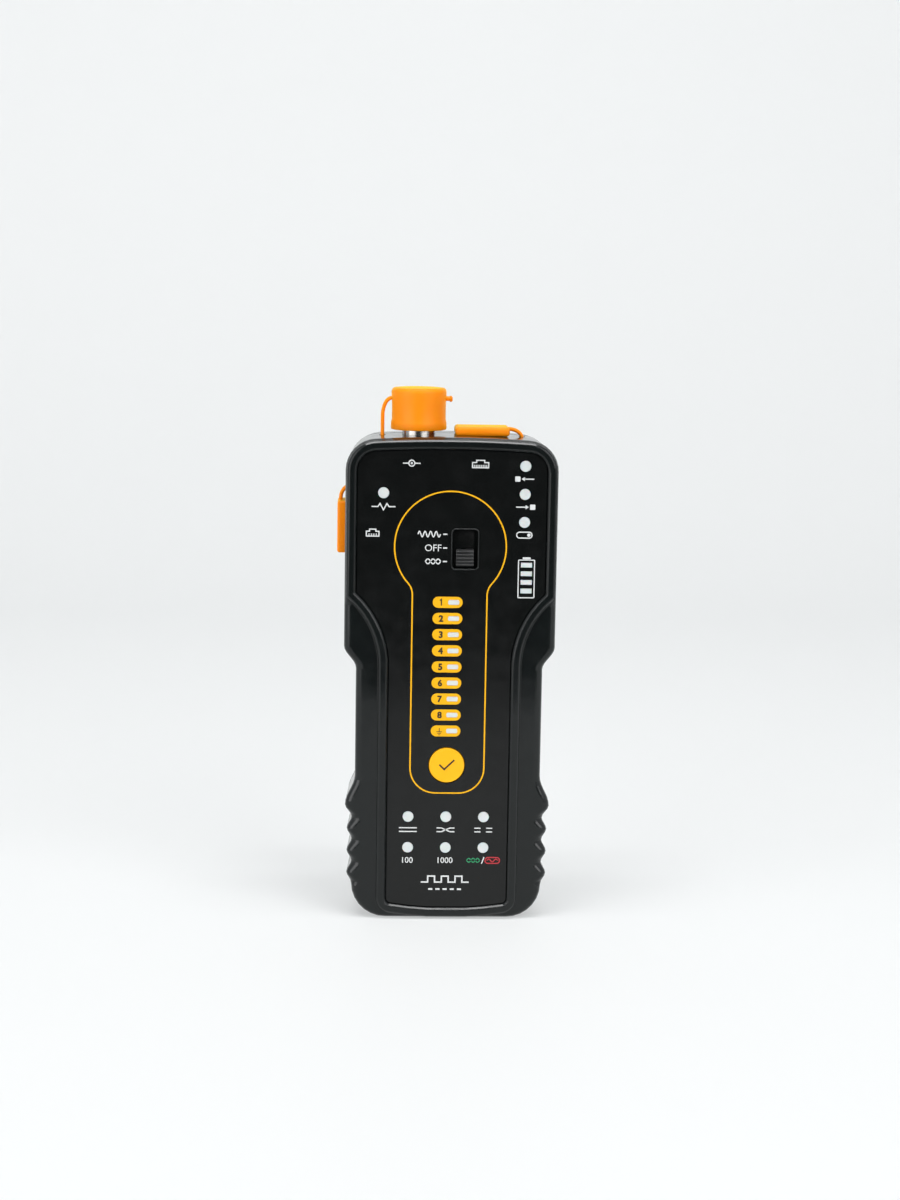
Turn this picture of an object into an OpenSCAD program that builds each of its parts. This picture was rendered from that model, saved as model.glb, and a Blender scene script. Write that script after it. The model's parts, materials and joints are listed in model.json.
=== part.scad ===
// Hand-held network cable tester: moulded two-part housing with a printed panel,
// slide switch, set button, signal lights, BNC, RJ45 and RJ11 sockets under tethered
// dust caps, and a 9 V battery behind a tilting door.
// Frame: millimetres, Z up, front towards -Y, origin in the middle of the base.

/* [Body] */
// Width across the shoulders
body_w = 61; // [58:0.2:64]
// Height from the base to the top of the arch
body_h = 141; // [138:0.2:146]
// Depth from the bezel's crest to the back
body_d = 32; // [31:0.5:36]
// Wall of both shells
wall = 2; // [1.6:0.1:2.4]
// Radius of the top corners
top_corner_r = 9; // [8:0.5:12]
// Radius of the base corners
base_corner_r = 10; // [7:0.5:11]
// Rise of the arched top between its corners
top_arch = 0.6; // [0.4:0.1:1.8]
// Edge rounding round the front
front_round = 2.2; // [1.6:0.1:2.6]
// Edge rounding round the back
back_round = 4; // [3:0.5:5]
// Depth of the front shell, behind the bezel's crest
front_depth = 22; // [21:0.5:23]
// Draft of each side, from the front edge to the back
side_draft = 1.8; // [0:0.1:2.2]

/* [Grip] */
// Width at the waist
waist_w = 54; // [52:0.1:55]
// Width in the valleys between the fingers
valley_w = 55.6; // [54:0.1:57]
// Height of each finger wave over its valley
finger_depth = 1.4; // [0.6:0.1:2]
// Distance from one finger wave to the next
finger_pitch = 6.6; // [6:0.1:7]
// Height of the lowest finger wave above the base
finger_z = 13.4; // [12.6:0.1:14]
// Width over the thumb wave
thumb_w = 59.6; // [58:0.1:61]
// Length of the thumb wave's upper slope
thumb_slope = 8.8; // [7:0.1:11]
// Height at which the shoulders start to widen
shoulder_z = 74; // [70:0.5:76]
// Length of the shoulder's slope
shoulder_slope = 6.5; // [5:0.5:9]
// How much deeper the valleys run into the front edge
scoop = 0.8; // [0:0.1:1.2]

/* [Bezel] */
// Width of the raised ridge
ridge_w = 2.9; // [2.2:0.1:3.2]
// Height of the ridge over the sides of the front
ridge_h = 1.2; // [0.8:0.1:1.6]
// Gap from the ridge to the edge of the housing
ridge_gap = 0.4; // [0.2:0.1:0.8]
// Width over the ridge at the waist
ridge_low_w = 41.2; // [40:0.1:43]
// Radius of the sweep that narrows the ridge
sweep_r = 26; // [24:0.5:28]
// Height at which the sweep starts
sweep_z = 75; // [72:0.5:77]
// Rise of the bowed lower edge at its corners
base_bow = 1.2; // [0.6:0.1:1.6]

/* [Panel] */
// Depth of the panel's face behind the ridge's crest
panel_sink = 0.8; // [0.5:0.1:1.2]
// Thickness of the printed overlay
overlay_t = 0.5; // [0.3:0.1:0.8]
// Gap between the overlay and the ridge
overlay_gap = 0.25; // [0.1:0.05:0.4]
// Radius of the round signal windows
window_r = 1.55; // [1.3:0.05:1.8]
// Length of the number windows
bar_w = 3.2; // [2.4:0.1:3.6]
// Height of the number windows
bar_h = 1.35; // [1:0.05:1.6]
// Distance between the number rows
number_pitch = 4.71; // [4.4:0.01:4.9]
// Height of the lowest number row
number_z = 56.1; // [55:0.1:57]
// Height of the set button's centre
set_z = 46; // [45:0.1:46.5]
// Radius of the set button
set_r = 5.1; // [4.4:0.1:5.4]
// Travel of the set button
set_travel = 0.5; // [0.3:0.1:0.6]

/* [Switch] */
// Sideways place of the slide switch
switch_x = 3.9; // [3:0.1:5]
// Height of the middle of the switch's window
switch_z = 109.2; // [108.6:0.1:110]
// Width of the switch's window
slot_w = 7.3; // [6.6:0.1:8]
// Height of the switch's window
slot_h = 11.3; // [11:0.1:12]
// Width of the knob
knob_w = 5.4; // [4.8:0.1:6]
// Height of the knob
knob_h = 4.9; // [4.4:0.1:5.2]
// Distance between two of the switch's three positions
switch_step = 2.9; // [2.6:0.1:3]

/* [Sockets] */
// Depth of the sockets' centres, from the middle of the body
port_y = 0.3; // [0:0.1:0.8]
// Sideways place of the BNC socket
bnc_x = -9.5; // [-10.5:0.1:-9]
// Radius of the BNC barrel
bnc_r = 4.75; // [4.7:0.05:4.85]
// Length of the BNC barrel outside the housing
bnc_out = 11.4; // [10.5:0.1:12]
// Sideways place of the RJ45 socket
rj45_x = 8.9; // [8.4:0.1:9.6]
// Height of the RJ11 socket
rj11_z = 114; // [113:0.1:115]

/* [Dust caps] */
// Outer radius of the BNC cap
bnc_cap_r = 8; // [7.6:0.1:8.4]
// Height of the BNC cap
bnc_cap_h = 12.2; // [11.6:0.1:13.6]
// Gap between the BNC cap and the housing
bnc_cap_gap = 1.2; // [0.8:0.1:2.4]
// Thickness of the plugs' flanges
flange_t = 2.6; // [2:0.1:3.4]
// Thickness of the straps
strap_t = 1.1; // [0.8:0.1:1.3]
// Width of the straps
strap_w = 2.6; // [2:0.1:3]
// Width of the RJ45 plug's flange
rj45_flange_w = 15.7; // [14:0.1:16.4]
// Width of the RJ11 plug's flange, up and down
rj11_flange_w = 15; // [13:0.1:16]

/* [Battery] */
// Width of the battery
battery_w = 26.5; // [26:0.1:26.6]
// Depth of the battery
battery_d = 17.5; // [17:0.1:17.6]
// Height of the battery's case
battery_h = 46.4; // [45:0.1:46.6]
// Width of the battery door
door_w = 32; // [31:0.1:34]
// Height of the lower edge of the door
door_z = 6; // [5:0.1:6.4]
// Height of the door
door_h = 60; // [59:0.1:61]

/* [Clearances] */
// Gap round pieces that are fitted and stay still
fit_gap = 0.12; // [0.08:0.01:0.15]
// Gap round pieces that move
run_gap = 0.3; // [0.3:0.01:0.34]

/* [Hidden] */
$fn = 48;

// Planes across the depth, from the front to the back
front_y = -body_d / 2;
back_y = body_d / 2;
side_y = front_y + ridge_h;
panel_y = front_y + panel_sink;
plate_y = panel_y + overlay_t;
plate_t = 2;
inner_y = plate_y + plate_t;
part_y = front_y + front_depth;
part_draft = side_draft * 0.5;
lip_t = 0.45;
lip_h = 1.2;
rear_inner_y = back_y - wall;
overlap = 0.5;

// Heights and places of the grip's waves
finger_n = 3;
grip_start = finger_z - finger_pitch / 2;
grip_end = finger_z + (finger_n - 0.5) * finger_pitch;
thumb_z = grip_end + 3.7;
waist_z = thumb_z + thumb_slope;
shoulder_end = shoulder_z + shoulder_slope;

// Circles of the arched top and of the bowed lower edge of the ridge
arch_x = body_w / 2 - top_corner_r;
arch_r = (arch_x * arch_x + top_arch * top_arch) / (2 * top_arch);
arch_cz = body_h - arch_r;
corner_cz = arch_cz + sqrt(pow(arch_r - top_corner_r, 2) - arch_x * arch_x);
arch_angle = acos(arch_x / (arch_r - top_corner_r));
ridge_corner = 4.5;
bow_x = ridge_low_w / 2 - ridge_corner;
bow_r = (bow_x * bow_x + base_bow * base_bow) / (2 * base_bow);
bow_cz = ridge_gap + bow_r;
bow_corner_cz = bow_cz - sqrt(pow(bow_r - ridge_corner, 2) - bow_x * bow_x);
bow_angle = acos(bow_x / (bow_r - ridge_corner));
sweep_x = ridge_low_w / 2 + sweep_r;

// Rows of signal lights: three by the right edge, one by the left, two rows of three below
light_pitch = 8.04;
light_top_z = 133.2;
print_x = -0.4;
light_x = 20.8;
status_x = -19.6;
low_light_x = 11;
low_light_z = 21.4;
low_light_pitch = 9.2;
round_places = concat(
    [for (i = [0:2]) [light_x, light_top_z - i * light_pitch]],
    [[status_x, light_top_z - light_pitch]],
    [for (row = [0:1], i = [-1:1]) [print_x + i * low_light_x, low_light_z + row * low_light_pitch]]);
number_n = 9;
number_x = print_x + 1.3;
number_places = [for (i = [0:number_n - 1]) [number_x, number_z + i * number_pitch]];
level_n = 4;
level_x = print_x + 22;
level_z = 97.3;
level_pitch = 2.5;
level_places = [for (i = [0:level_n - 1]) [level_x, level_z + i * level_pitch]];

// Board, held on bosses behind the panel
board_gap = 4.9;
board_y = inner_y + board_gap;
board_t = 1.6;
board_back = board_y + board_t;
board_low_w = waist_w - 2 * wall - 2;
board_top_w = body_w - 2 * wall - 3;
board_z0 = 15;
board_z1 = body_h - 6;
board_corner = 8;
board_step = [5, 3];
board_screw_x = 20;
board_screw_z = [19, 70];
case_screw_z = [10, 129.3];
boss_r = 2.9;
case_screw_x = [for (w = [waist_w, body_w]) w / 2 - wall - boss_r + 0.35];
case_hole_r = 1.25;
board_boss_r = 2.6;
board_hole_r = 0.95;
head_r = 2.5;
head_t = 1.7;
screw_gap = 0.08;
screw_len = 10.4;
rear_boss_r = head_r + 1.2;
case_seat_y = part_y + 2.4;
board_screw_len = 5;
board_head_r = 2;
board_head_t = 1.3;

// Places of the parts on the back of the board
chip_t = 1.5;
controller_w = 10;
driver_w = 4;
driver_h = 10;
crystal_size = [4.6, 11, 3.4];
capacitor_r = 2.5;
capacitor_h = 5.4;
controller_place = [4, 84];
driver_places = [[-16, 92], [-8, 92]];
crystal_place = [14, 84];
capacitor_places = [[-18, 79], [20, 79]];

// Battery bay, open to the back
foam_t = 0.4;
battery_play = 0.3;
bay_gap = 0.2;
bay_wall = 1.3;
board_play = 0.5;
// The door stands proud of the back where the board and the battery need more depth
door_y = max(rear_inner_y,
    board_back + board_play + bay_wall + bay_gap + battery_d + battery_play + foam_t);
door_back = door_y + wall;
battery_z = door_z + 4.6;
battery_back = door_y - foam_t - battery_play;
battery_front = battery_back - battery_d;
bay_w = battery_w + 0.8;
bay_front = battery_front - bay_gap;
bay_z0 = battery_z - bay_gap;
bay_z1 = door_z + door_h - 2.5;
battery_top = battery_z + battery_h;
battery_mid_y = (battery_front + battery_back) / 2;
terminal_x = 6.35;
terminal_h = 2.6;
seat_w = 1.6;
seat_t = 1.5;
tongue_x = 8;
tongue_w = 4;
tongue_t = 1.2;
tongue_reach = 1.4;
lead_hole = [6, 3];
notch_r = 7.5;
thumb_r = 11;
thumb_drop = 12;
grip_w = 10;
grip_pitch = 1.5;
snap_w = 25;
snap_d = 12;
snap_t = 1.8;
stud_r = 2.8;
cup_r = 4.2;
cup_bore_r = 3.2;

// Slide switch and its travel
switch_travel = 2 * switch_step;
rim_w = 0.4;
rim_r = 1.4;
slot_r = 1;
knob_margin = 0.6;
knob_z0 = switch_z - slot_h / 2 + knob_margin;
skirt_y = inner_y + 0.15;
skirt_t = 0.7;
lever_y = skirt_y + skirt_t;
lever_w = 2;
lever_z = knob_z0 + knob_h / 2;
switch_body_w = 7;
switch_body_h = 13;
lever_in = 2;
switch_body_z = lever_z + switch_travel / 2;
switch_body_y = lever_y + 0.35;

// Set button, its stem and the tact switch behind it
set_flange_y = inner_y + 0.1;
set_back_y = set_flange_y + 0.8;
tact_y = set_back_y + set_travel + 0.1;
tact_w = 6;
plunger_r = 1.7;
plunger_in = 1.2;
set_flange_w = 0.9;

// Light guides and the LEDs behind them
collar_w = 0.6;
collar_t = 2.2;
led_t = 1.1;
round_led = [2.8, 2];
bar_led = [2, 1.25];

// Sockets
top_inner_z = body_h - wall;
rj45_w = 16;
rj45_d = 13.2;
rj45_len = 20.5;
rj45_top = top_inner_z - 1;
rj45_hole_w = 12;
rj45_hole_d = 7.4;
rj45_hole_len = 13;
rj11_w = 13.2;
rj11_d = 11.4;
rj11_len = 16.5;
rj11_face = -(body_w / 2 - wall - 0.1);
rj11_hole_w = 9.8;
rj11_hole_d = 6.8;
rj11_hole_len = 11.2;
side_x0 = -body_w / 2;
strap_hole_t = strap_t + 2 * run_gap;
strap_hole_w = strap_w + 2 * run_gap;
bnc_strap_x = -20;
rj45_strap_x = 20.6;
rj11_strap_z = rj11_z + 11.6;
bnc_cap_z = body_h + bnc_cap_gap;
bnc_stub_z = bnc_cap_z + bnc_cap_h - 3.2;
rj45_seat = body_h - 0.2;
rj45_flange_d = 12;
rj11_flange_d = 11;
rj11_flange_t = 2;
flange_r = 1.2;
plug_t = 4.6;
plug_in = 6;
latch_w = 3.6;
bnc_nut_r = 7;
bnc_nut_h = 2.2;
bnc_washer_r = bnc_nut_r - 0.8;
bnc_washer_h = 0.6;
bnc_lug_x = 5.5;
bnc_lug_r = 0.95;
bnc_lug_drop = 4.2;
bnc_wall = 0.75;
bnc_core_r = 2.35;
pin_r = 1;
pin_drop = 4.8;
pin_tail = 6;
block_w = 14;
block_h = 12;
block_behind = 6.6;
block_base = 1.2;

function ease(t) = (1 - cos(180 * t)) / 2;

// Half width of the housing at height z: finger waves, thumb wave, waist and shoulder
function side_x(z) =
    z < grip_start ? valley_w / 2
    : z < grip_end ? valley_w / 2 + finger_depth * (1 + cos(360 * (z - finger_z) / finger_pitch)) / 2
    : z < thumb_z ? valley_w / 2 + (thumb_w - valley_w) / 2 * ease((z - grip_end) / (thumb_z - grip_end))
    : z < waist_z ? thumb_w / 2 - (thumb_w - waist_w) / 2 * ease((z - thumb_z) / thumb_slope)
    : z < shoulder_z ? waist_w / 2
    : z < shoulder_end ? waist_w / 2 + (body_w - waist_w) / 2 * ease((z - shoulder_z) / shoulder_slope)
    : body_w / 2;

// How much of a valley there is at height z, 0 on the waves and outside the grip
function valley(z) =
    z < grip_start || z > thumb_z ? 0
    : z < grip_end ? (1 - cos(360 * (z - finger_z) / finger_pitch)) / 2
    : 1 - ease((z - grip_end) / (thumb_z - grip_end));

// Height of the top's underside at x, and the highest place there for a flat washer round the BNC barrel
function arch_under(x) = arch_cz + sqrt(arch_r * arch_r - x * x) - wall;
washer_z = arch_under(abs(bnc_x) + bnc_washer_r) - 0.1 - bnc_washer_h;
nut_z = washer_z - bnc_nut_h;
block_top = nut_z - 1.8;

function spread(a, b, n) = [for (i = [0:n]) a + (b - a) * i / n];
function arc(cx, cz, r, a0, a1, n) = [for (a = spread(a0, a1, n)) [cx + r * cos(a), cz + r * sin(a)]];
function mirrored(half) = concat(half, [for (i = [len(half) - 1:-1:0]) [-half[i][0], half[i][1]]]);

base_n = 2;
sweep_n = 6;
grip_heights = concat(spread(grip_start, grip_end, 8 * finger_n), spread(grip_end, thumb_z, 4),
    spread(thumb_z, waist_z, 7), spread(shoulder_z, shoulder_end, 7));
side_heights = [for (i = [1:len(grip_heights) - 1])
    if (grip_heights[i] - grip_heights[i - 1] > 0.01) grip_heights[i]];

// Height at which the ridge's sweep runs into its straight upper side
function sweep_top(inset) = sweep_z + sqrt(pow(sweep_r + inset, 2)
    - pow(sweep_x - body_w / 2 + ridge_gap + inset, 2));

// Heights of the points between the shoulder and the end of the sweep
function sweep_heights(inset) = [for (i = [1:sweep_n])
    shoulder_end + (sweep_top(inset) - shoulder_end) * i / sweep_n];

function top_points(inset) = concat(
    arc(arch_x, corner_cz, top_corner_r - inset, 0, arch_angle, 8),
    [for (i = [1:3]) let (a = arch_angle + (90 - arch_angle) * i / 4)
        [(arch_r - inset) * cos(a), arch_cz + (arch_r - inset) * sin(a)]]);

// Outline of the housing, moved in by inset
function housing_outline(inset) = mirrored(concat(
    [for (i = [1:base_n]) [(valley_w / 2 - base_corner_r) * i / (base_n + 1), inset]],
    arc(valley_w / 2 - base_corner_r, base_corner_r, base_corner_r - inset, -90, 0, 7),
    [for (z = concat(side_heights, sweep_heights(0))) [side_x(z) - inset, z]],
    top_points(inset)));

function ridge_x(z, inset) =
    z < sweep_z ? ridge_low_w / 2 - inset
    : sweep_x - sqrt(pow(sweep_r + inset, 2) - pow(z - sweep_z, 2));

// Outline of the ridge, moved in from its outer edge by inset, point for point beside the housing's
function ridge_outline(inset) = mirrored(concat(
    [for (i = [1:base_n]) let (a = (90 - bow_angle) * i / (base_n + 1))
        [(bow_r - inset) * sin(a), bow_cz - (bow_r - inset) * cos(a)]],
    arc(bow_x, bow_corner_cz, ridge_corner - inset, -bow_angle, 0, 7),
    [for (z = concat(side_heights, sweep_heights(inset))) [ridge_x(z, inset), z]],
    top_points(ridge_gap + inset)));

// Outline between the housing's and the ridge's, moved in by inset but never past the ridge
function edge_outline(inset, dip) =
    let (outer = housing_outline(0), inner = ridge_outline(0))
    [for (i = [0:len(outer) - 1])
        let (way = inner[i] - outer[i],
            step = inset + dip * valley(outer[i][1]))
        outer[i] + way * min(0.9, step / norm(way))];

// Outline of the cavity, straight behind the grip's waves, moved in by inset
function cavity_outline(inset) = let (w = wall + inset) mirrored(concat(
    arc(waist_w / 2 - base_corner_r, base_corner_r, base_corner_r - w, -90, 0, 4),
    [for (z = spread(shoulder_z, shoulder_end, 5))
        [waist_w / 2 - w + (body_w - waist_w) / 2 * ease((z - shoulder_z) / shoulder_slope), z]],
    top_points(w)));

// A closed skin through outlines that all have the same number of points and mirrored halves.
// The flat of the base is closed by a fan from the corner, the rest by strips across the outline.
module loft(rings) {
    n = len(rings[0]);
    last = len(rings) - 1;
    points = [for (ring = rings) each ring];
    cap = concat(
        [for (i = [0:2 * base_n + 1]) [base_n + 1, (n - 2 - base_n + i) % n, (n - 1 - base_n + i) % n]],
        [for (i = [base_n + 1:n / 2 - 2]) [i, i + 1, n - 2 - i, n - 1 - i]]);
    front = [for (face = cap) [for (i = [len(face) - 1:-1:0]) face[i]]];
    back = [for (face = cap) [for (p = face) last * n + p]];
    sides = [for (k = [0:last - 1], i = [0:n - 1]) let (j = (i + 1) % n)
        each [[k * n + i, k * n + j, (k + 1) * n + j], [k * n + i, (k + 1) * n + j, (k + 1) * n + i]]];
    polyhedron(points, concat(front, sides, back));
}

// An outline narrowed by the same share all over, so that the shoulders come in by draft
function drafted(outline, draft) = [for (p = outline) [p[0] * (1 - draft / (body_w / 2)), p[1]]];

function at_depth(outline, y) = [for (p = outline) [p[0], y, p[1]]];

// Extrudes a drawing of X and Z from depth y0 back to y1
module along_y(y0, y1) {
    translate([0, y1, 0])
        rotate([90, 0, 0])
            linear_extrude(y1 - y0)
                children();
}

// A round bar along Y at a place in X and Z
module rod_y(x, z, r, y0, y1) {
    translate([x, y1, z])
        rotate([90, 0, 0])
            cylinder(r = r, h = y1 - y0);
}

// A block given by its middle in X and Z and its two depths
module block_y(x, z, w, h, y0, y1) {
    translate([x - w / 2, y0, z - h / 2])
        cube([w, y1 - y0, h]);
}

// A rectangle with round corners, as a drawing
module rounded(w, h, r) {
    union() {
        square([w - 2 * r, h], center = true);
        square([w, h - 2 * r], center = true);
        for (sx = [-1, 1], sz = [-1, 1])
            translate([sx * (w / 2 - r), sz * (h / 2 - r)])
                circle(r = r, $fn = 24);
    }
}

// ---- Housing ----

// Front of the housing in one skin: panel seat, ridge, sides of the front, edge rounding and walls
module front_skin() {
    bevel = 0.55;
    crease = 0.12;
    ridge_profile = [
        [ridge_w, plate_y], [ridge_w - crease, front_y + bevel],
        [ridge_w - bevel, front_y + crease], [ridge_w - bevel - crease, front_y],
        [bevel + crease, front_y], [bevel, front_y + crease],
        [crease, front_y + bevel], [0, side_y]];
    edge = [for (a = spread(0, 72, 4))
        [front_round * (1 - sin(a)), scoop * cos(a), side_y + front_round * (1 - cos(a))]];
    loft(concat(
        [for (p = ridge_profile) at_depth(ridge_outline(p[0]), p[1])],
        [for (e = edge) at_depth(edge_outline(e[0], e[1]), e[2])],
        [at_depth(housing_outline(0), side_y + front_round),
            at_depth(drafted(housing_outline(0), part_draft), part_y)]));
}

module rear_skin() {
    groove = 0.25;
    loft(concat(
        [at_depth(drafted(housing_outline(groove), part_draft), part_y),
            at_depth(drafted(housing_outline(groove), part_draft), part_y + 0.5),
            at_depth(drafted(housing_outline(0), part_draft), part_y + 0.5 + groove)],
        [for (a = spread(90, 0, 5)) at_depth(
            drafted(housing_outline(back_round * (1 - sin(a))), side_draft),
            back_y - back_round * (1 - cos(a)))]));
}

module case_boss_places() {
    for (i = [0, 1], side = [-1, 1])
        translate([side * case_screw_x[i], 0, case_screw_z[i]])
            children();
}

module board_boss_places() {
    for (z = board_screw_z, side = [-1, 1])
        translate([side * board_screw_x, 0, z])
            children();
}

// Openings in the walls for the three sockets and the strap tails
module socket_openings() {
    translate([bnc_x, port_y, top_inner_z - 4])
        cylinder(r = bnc_r + fit_gap, h = 8);
    translate([rj45_x - rj45_hole_w / 2, port_y - rj45_hole_d / 2, top_inner_z - 2])
        cube([rj45_hole_w, rj45_hole_d, 6]);
    translate([side_x0 - 1, port_y - rj11_hole_d / 2, rj11_z - rj11_hole_w / 2])
        cube([4, rj11_hole_d, rj11_hole_w]);
    for (x = [bnc_strap_x, rj45_strap_x])
        translate([x - strap_hole_t / 2, port_y - strap_hole_w / 2, top_inner_z - 4])
            cube([strap_hole_t, strap_hole_w, 8]);
    translate([side_x0 - 1, port_y - strap_hole_w / 2, rj11_strap_z - strap_hole_t / 2])
        cube([4, strap_hole_w, strap_hole_t]);
}

module front_shell() {
    color([0.11, 0.12, 0.125]) difference() {
        union() {
            difference() {
                union() {
                    front_skin();
                    // Lip that centres the rear shell
                    along_y(part_y - 1.5, part_y + lip_h)
                        polygon(cavity_outline(-lip_t));
                }
                along_y(inner_y, part_y + 2)
                    polygon(cavity_outline(0));
            }
            case_boss_places()
                rod_y(0, 0, boss_r, inner_y - 0.5, part_y + lip_h);
            board_boss_places()
                rod_y(0, 0, board_boss_r, inner_y - 0.5, board_y);
            // Raised rim of the switch's window
            along_y(panel_y - 0.15, plate_y + 0.5)
                translate([switch_x, switch_z])
                    rounded(slot_w + 2 * rim_w, slot_h + 2 * rim_w, rim_r);
        }
        along_y(front_y, inner_y + 1)
            translate([switch_x, switch_z])
                rounded(slot_w, slot_h, slot_r);
        for (p = round_places)
            rod_y(p[0], p[1], window_r + fit_gap, plate_y - 1, inner_y + 1);
        for (p = concat(number_places, level_places))
            block_y(p[0], p[1], bar_w + 2 * fit_gap, bar_h + 2 * fit_gap, plate_y - 1, inner_y + 1);
        rod_y(print_x, set_z, set_r + run_gap, plate_y - 1, inner_y + 1);
        case_boss_places()
            rod_y(0, 0, case_hole_r, inner_y + 4, part_y + 2);
        board_boss_places()
            rod_y(0, 0, board_hole_r, inner_y + 0.6, board_y + 1);
        socket_openings();
    }
}

module rear_shell() {
    bay_out = bay_w + 2 * bay_wall;
    color([0.11, 0.12, 0.125]) difference() {
        union() {
            difference() {
                rear_skin();
                along_y(part_y - 1, part_y + 2)
                    polygon(cavity_outline(0));
                along_y(part_y + 1.9, rear_inner_y)
                    polygon(drafted(cavity_outline(0), side_draft));
                along_y(part_y - 1, part_y + 1.4)
                    polygon(cavity_outline(-lip_t - fit_gap));
            }
            // Walls of the battery bay
            translate([-bay_out / 2, bay_front - bay_wall, bay_z0 - bay_wall])
                cube([bay_out, door_y - bay_front + bay_wall, bay_z1 - bay_z0 + 2 * bay_wall]);
            // Frame that the door seats on, and its raised wall where the door stands proud
            translate([-door_w / 2 - seat_w, rear_inner_y - seat_t, door_z - seat_w])
                cube([door_w + 2 * seat_w, seat_t + 0.2, door_h + 2 * seat_w]);
            if (door_back > back_y + 0.01)
                translate([-door_w / 2 - seat_w, rear_inner_y, door_z - seat_w])
                    cube([door_w + 2 * seat_w, door_back - rear_inner_y, door_h + 2 * seat_w]);
            case_boss_places()
                rod_y(0, 0, rear_boss_r, part_y + lip_h + 0.05, rear_inner_y + 0.5);
        }
        translate([-bay_w / 2, bay_front, bay_z0])
            cube([bay_w, door_y - bay_front + 1, bay_z1 - bay_z0]);
        // Seat of the door
        translate([-door_w / 2 - run_gap, door_y, door_z - run_gap])
            cube([door_w + 2 * run_gap, wall + 1, door_h + 2 * run_gap]);
        // Slots that take the door's tongues
        for (side = [-1, 1])
            translate([side * tongue_x - tongue_w / 2 - run_gap, door_y - 2.3, door_z - tongue_reach - 0.6])
                cube([tongue_w + 2 * run_gap, 2.31, tongue_reach + 0.6 + battery_z - door_z]);
        // Finger notch over the door
        translate([0, door_back + notch_r - 1.5, door_z + door_h + 1])
            sphere(r = notch_r, $fn = 40);
        // Way out for the battery leads
        translate([-lead_hole[0] / 2, bay_front - bay_wall - 1, bay_z1 - 1 - lead_hole[1]])
            cube([lead_hole[0], bay_wall + 2, lead_hole[1]]);
        case_boss_places() {
            rod_y(0, 0, head_r + 0.2, case_seat_y, back_y + 1);
            rod_y(0, 0, case_hole_r + 0.25, part_y - 1, case_seat_y + 1);
        }
        socket_openings();
    }
}

module battery_door() {
    rib_n = 4;
    rib_z = door_z + door_h - thumb_drop - (rib_n / 2) * grip_pitch + 0.4;
    color([0.11, 0.12, 0.125]) union() {
        difference() {
            translate([-door_w / 2, door_y + 0.02, door_z])
                cube([door_w, wall - 0.02, door_h]);
            // Thumb recess
            translate([0, door_back + thumb_r - 1, door_z + door_h - thumb_drop])
                rotate([0, 90, 0])
                    cylinder(r = thumb_r, h = grip_w + 4, center = true);
        }
        // Grip ribs in the recess
        for (i = [0:rib_n - 1])
            translate([-grip_w / 2, door_back - 1.2, rib_z + i * grip_pitch])
                cube([grip_w, 1.1, grip_pitch / 2 - 0.05]);
        // Tongues that hook behind the shell
        for (side = [-1, 1])
            translate([side * tongue_x - tongue_w / 2, door_y - tongue_t - 0.2, door_z - tongue_reach]) {
                cube([tongue_w, tongue_t, tongue_reach + 1]);
                translate([0, 0, tongue_reach])
                    cube([tongue_w, tongue_t + 0.3, 1]);
            }
    }
}

module door_foam() {
    foam_inset = 3.5;
    color([0.2, 0.2, 0.21])
        translate([-battery_w / 2 + foam_inset, door_y - foam_t, battery_z + foam_inset])
            cube([battery_w - 2 * foam_inset, foam_t, battery_h - 2 * foam_inset]);
}

// ---- Panel ----

module face_overlay() {
    color([0.07, 0.075, 0.08]) along_y(panel_y, plate_y) difference() {
        polygon(ridge_outline(ridge_w + overlay_gap));
        translate([switch_x, switch_z])
            rounded(slot_w + 2 * rim_w + 2 * fit_gap, slot_h + 2 * rim_w + 2 * fit_gap, rim_r + fit_gap);
        for (p = round_places)
            translate(p)
                circle(r = window_r + fit_gap / 2);
        for (p = concat(number_places, level_places))
            translate(p)
                square([bar_w + fit_gap, bar_h + fit_gap], center = true);
        translate([print_x, set_z])
            circle(r = set_r + run_gap);
    }
}

// A light guide: the window in the panel and the collar behind the plate
module round_guide(x, z) {
    rod_y(x, z, window_r, panel_y, inner_y + 0.5);
    rod_y(x, z, window_r + collar_w, inner_y + 0.02, inner_y + collar_t);
}

module bar_guide(x, z) {
    block_y(x, z, bar_w, bar_h, panel_y, inner_y + 0.5);
    block_y(x, z, bar_w + 2 * collar_w, bar_h + collar_w, inner_y + 0.02, inner_y + collar_t);
}

module round_windows() {
    color([0.9, 0.92, 0.92])
        for (p = round_places)
            union() round_guide(p[0], p[1]);
}

module number_windows() {
    color([0.9, 0.92, 0.92])
        for (p = number_places)
            union() bar_guide(p[0], p[1]);
}

module battery_windows() {
    color([0.9, 0.92, 0.92])
        for (p = level_places)
            union() bar_guide(p[0], p[1]);
}

module leds(places, size) {
    color([0.95, 0.93, 0.8])
        for (p = places)
            block_y(p[0], p[1], size[0], size[1], board_y - led_t, board_y);
}

module round_leds() {
    leds(round_places, round_led);
}

module number_leds() {
    leds(number_places, bar_led);
}

module battery_leds() {
    leds(level_places, bar_led);
}

// ---- Switch and button ----

module switch_knob() {
    grooves = 5;
    groove_pitch = knob_h / grooves;
    color([0.16, 0.16, 0.17]) difference() {
        union() {
            block_y(switch_x, knob_z0 + knob_h / 2, knob_w, knob_h, panel_y - 0.2, skirt_y + 0.1);
            translate([switch_x - slot_w / 2 - 1, skirt_y, knob_z0 - knob_margin - switch_travel - 0.3])
                cube([slot_w + 2, skirt_t, slot_h + switch_travel + 0.6]);
        }
        for (i = [0:grooves - 2])
            translate([switch_x - knob_w / 2 - 1, panel_y - 0.5, knob_z0 + (i + 1) * groove_pitch - 0.2])
                cube([knob_w + 2, 0.7, 0.4]);
    }
}

module switch_lever() {
    color([0.75, 0.76, 0.78])
        block_y(switch_x, lever_z, lever_w, lever_w, lever_y, switch_body_y + lever_in);
}

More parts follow.
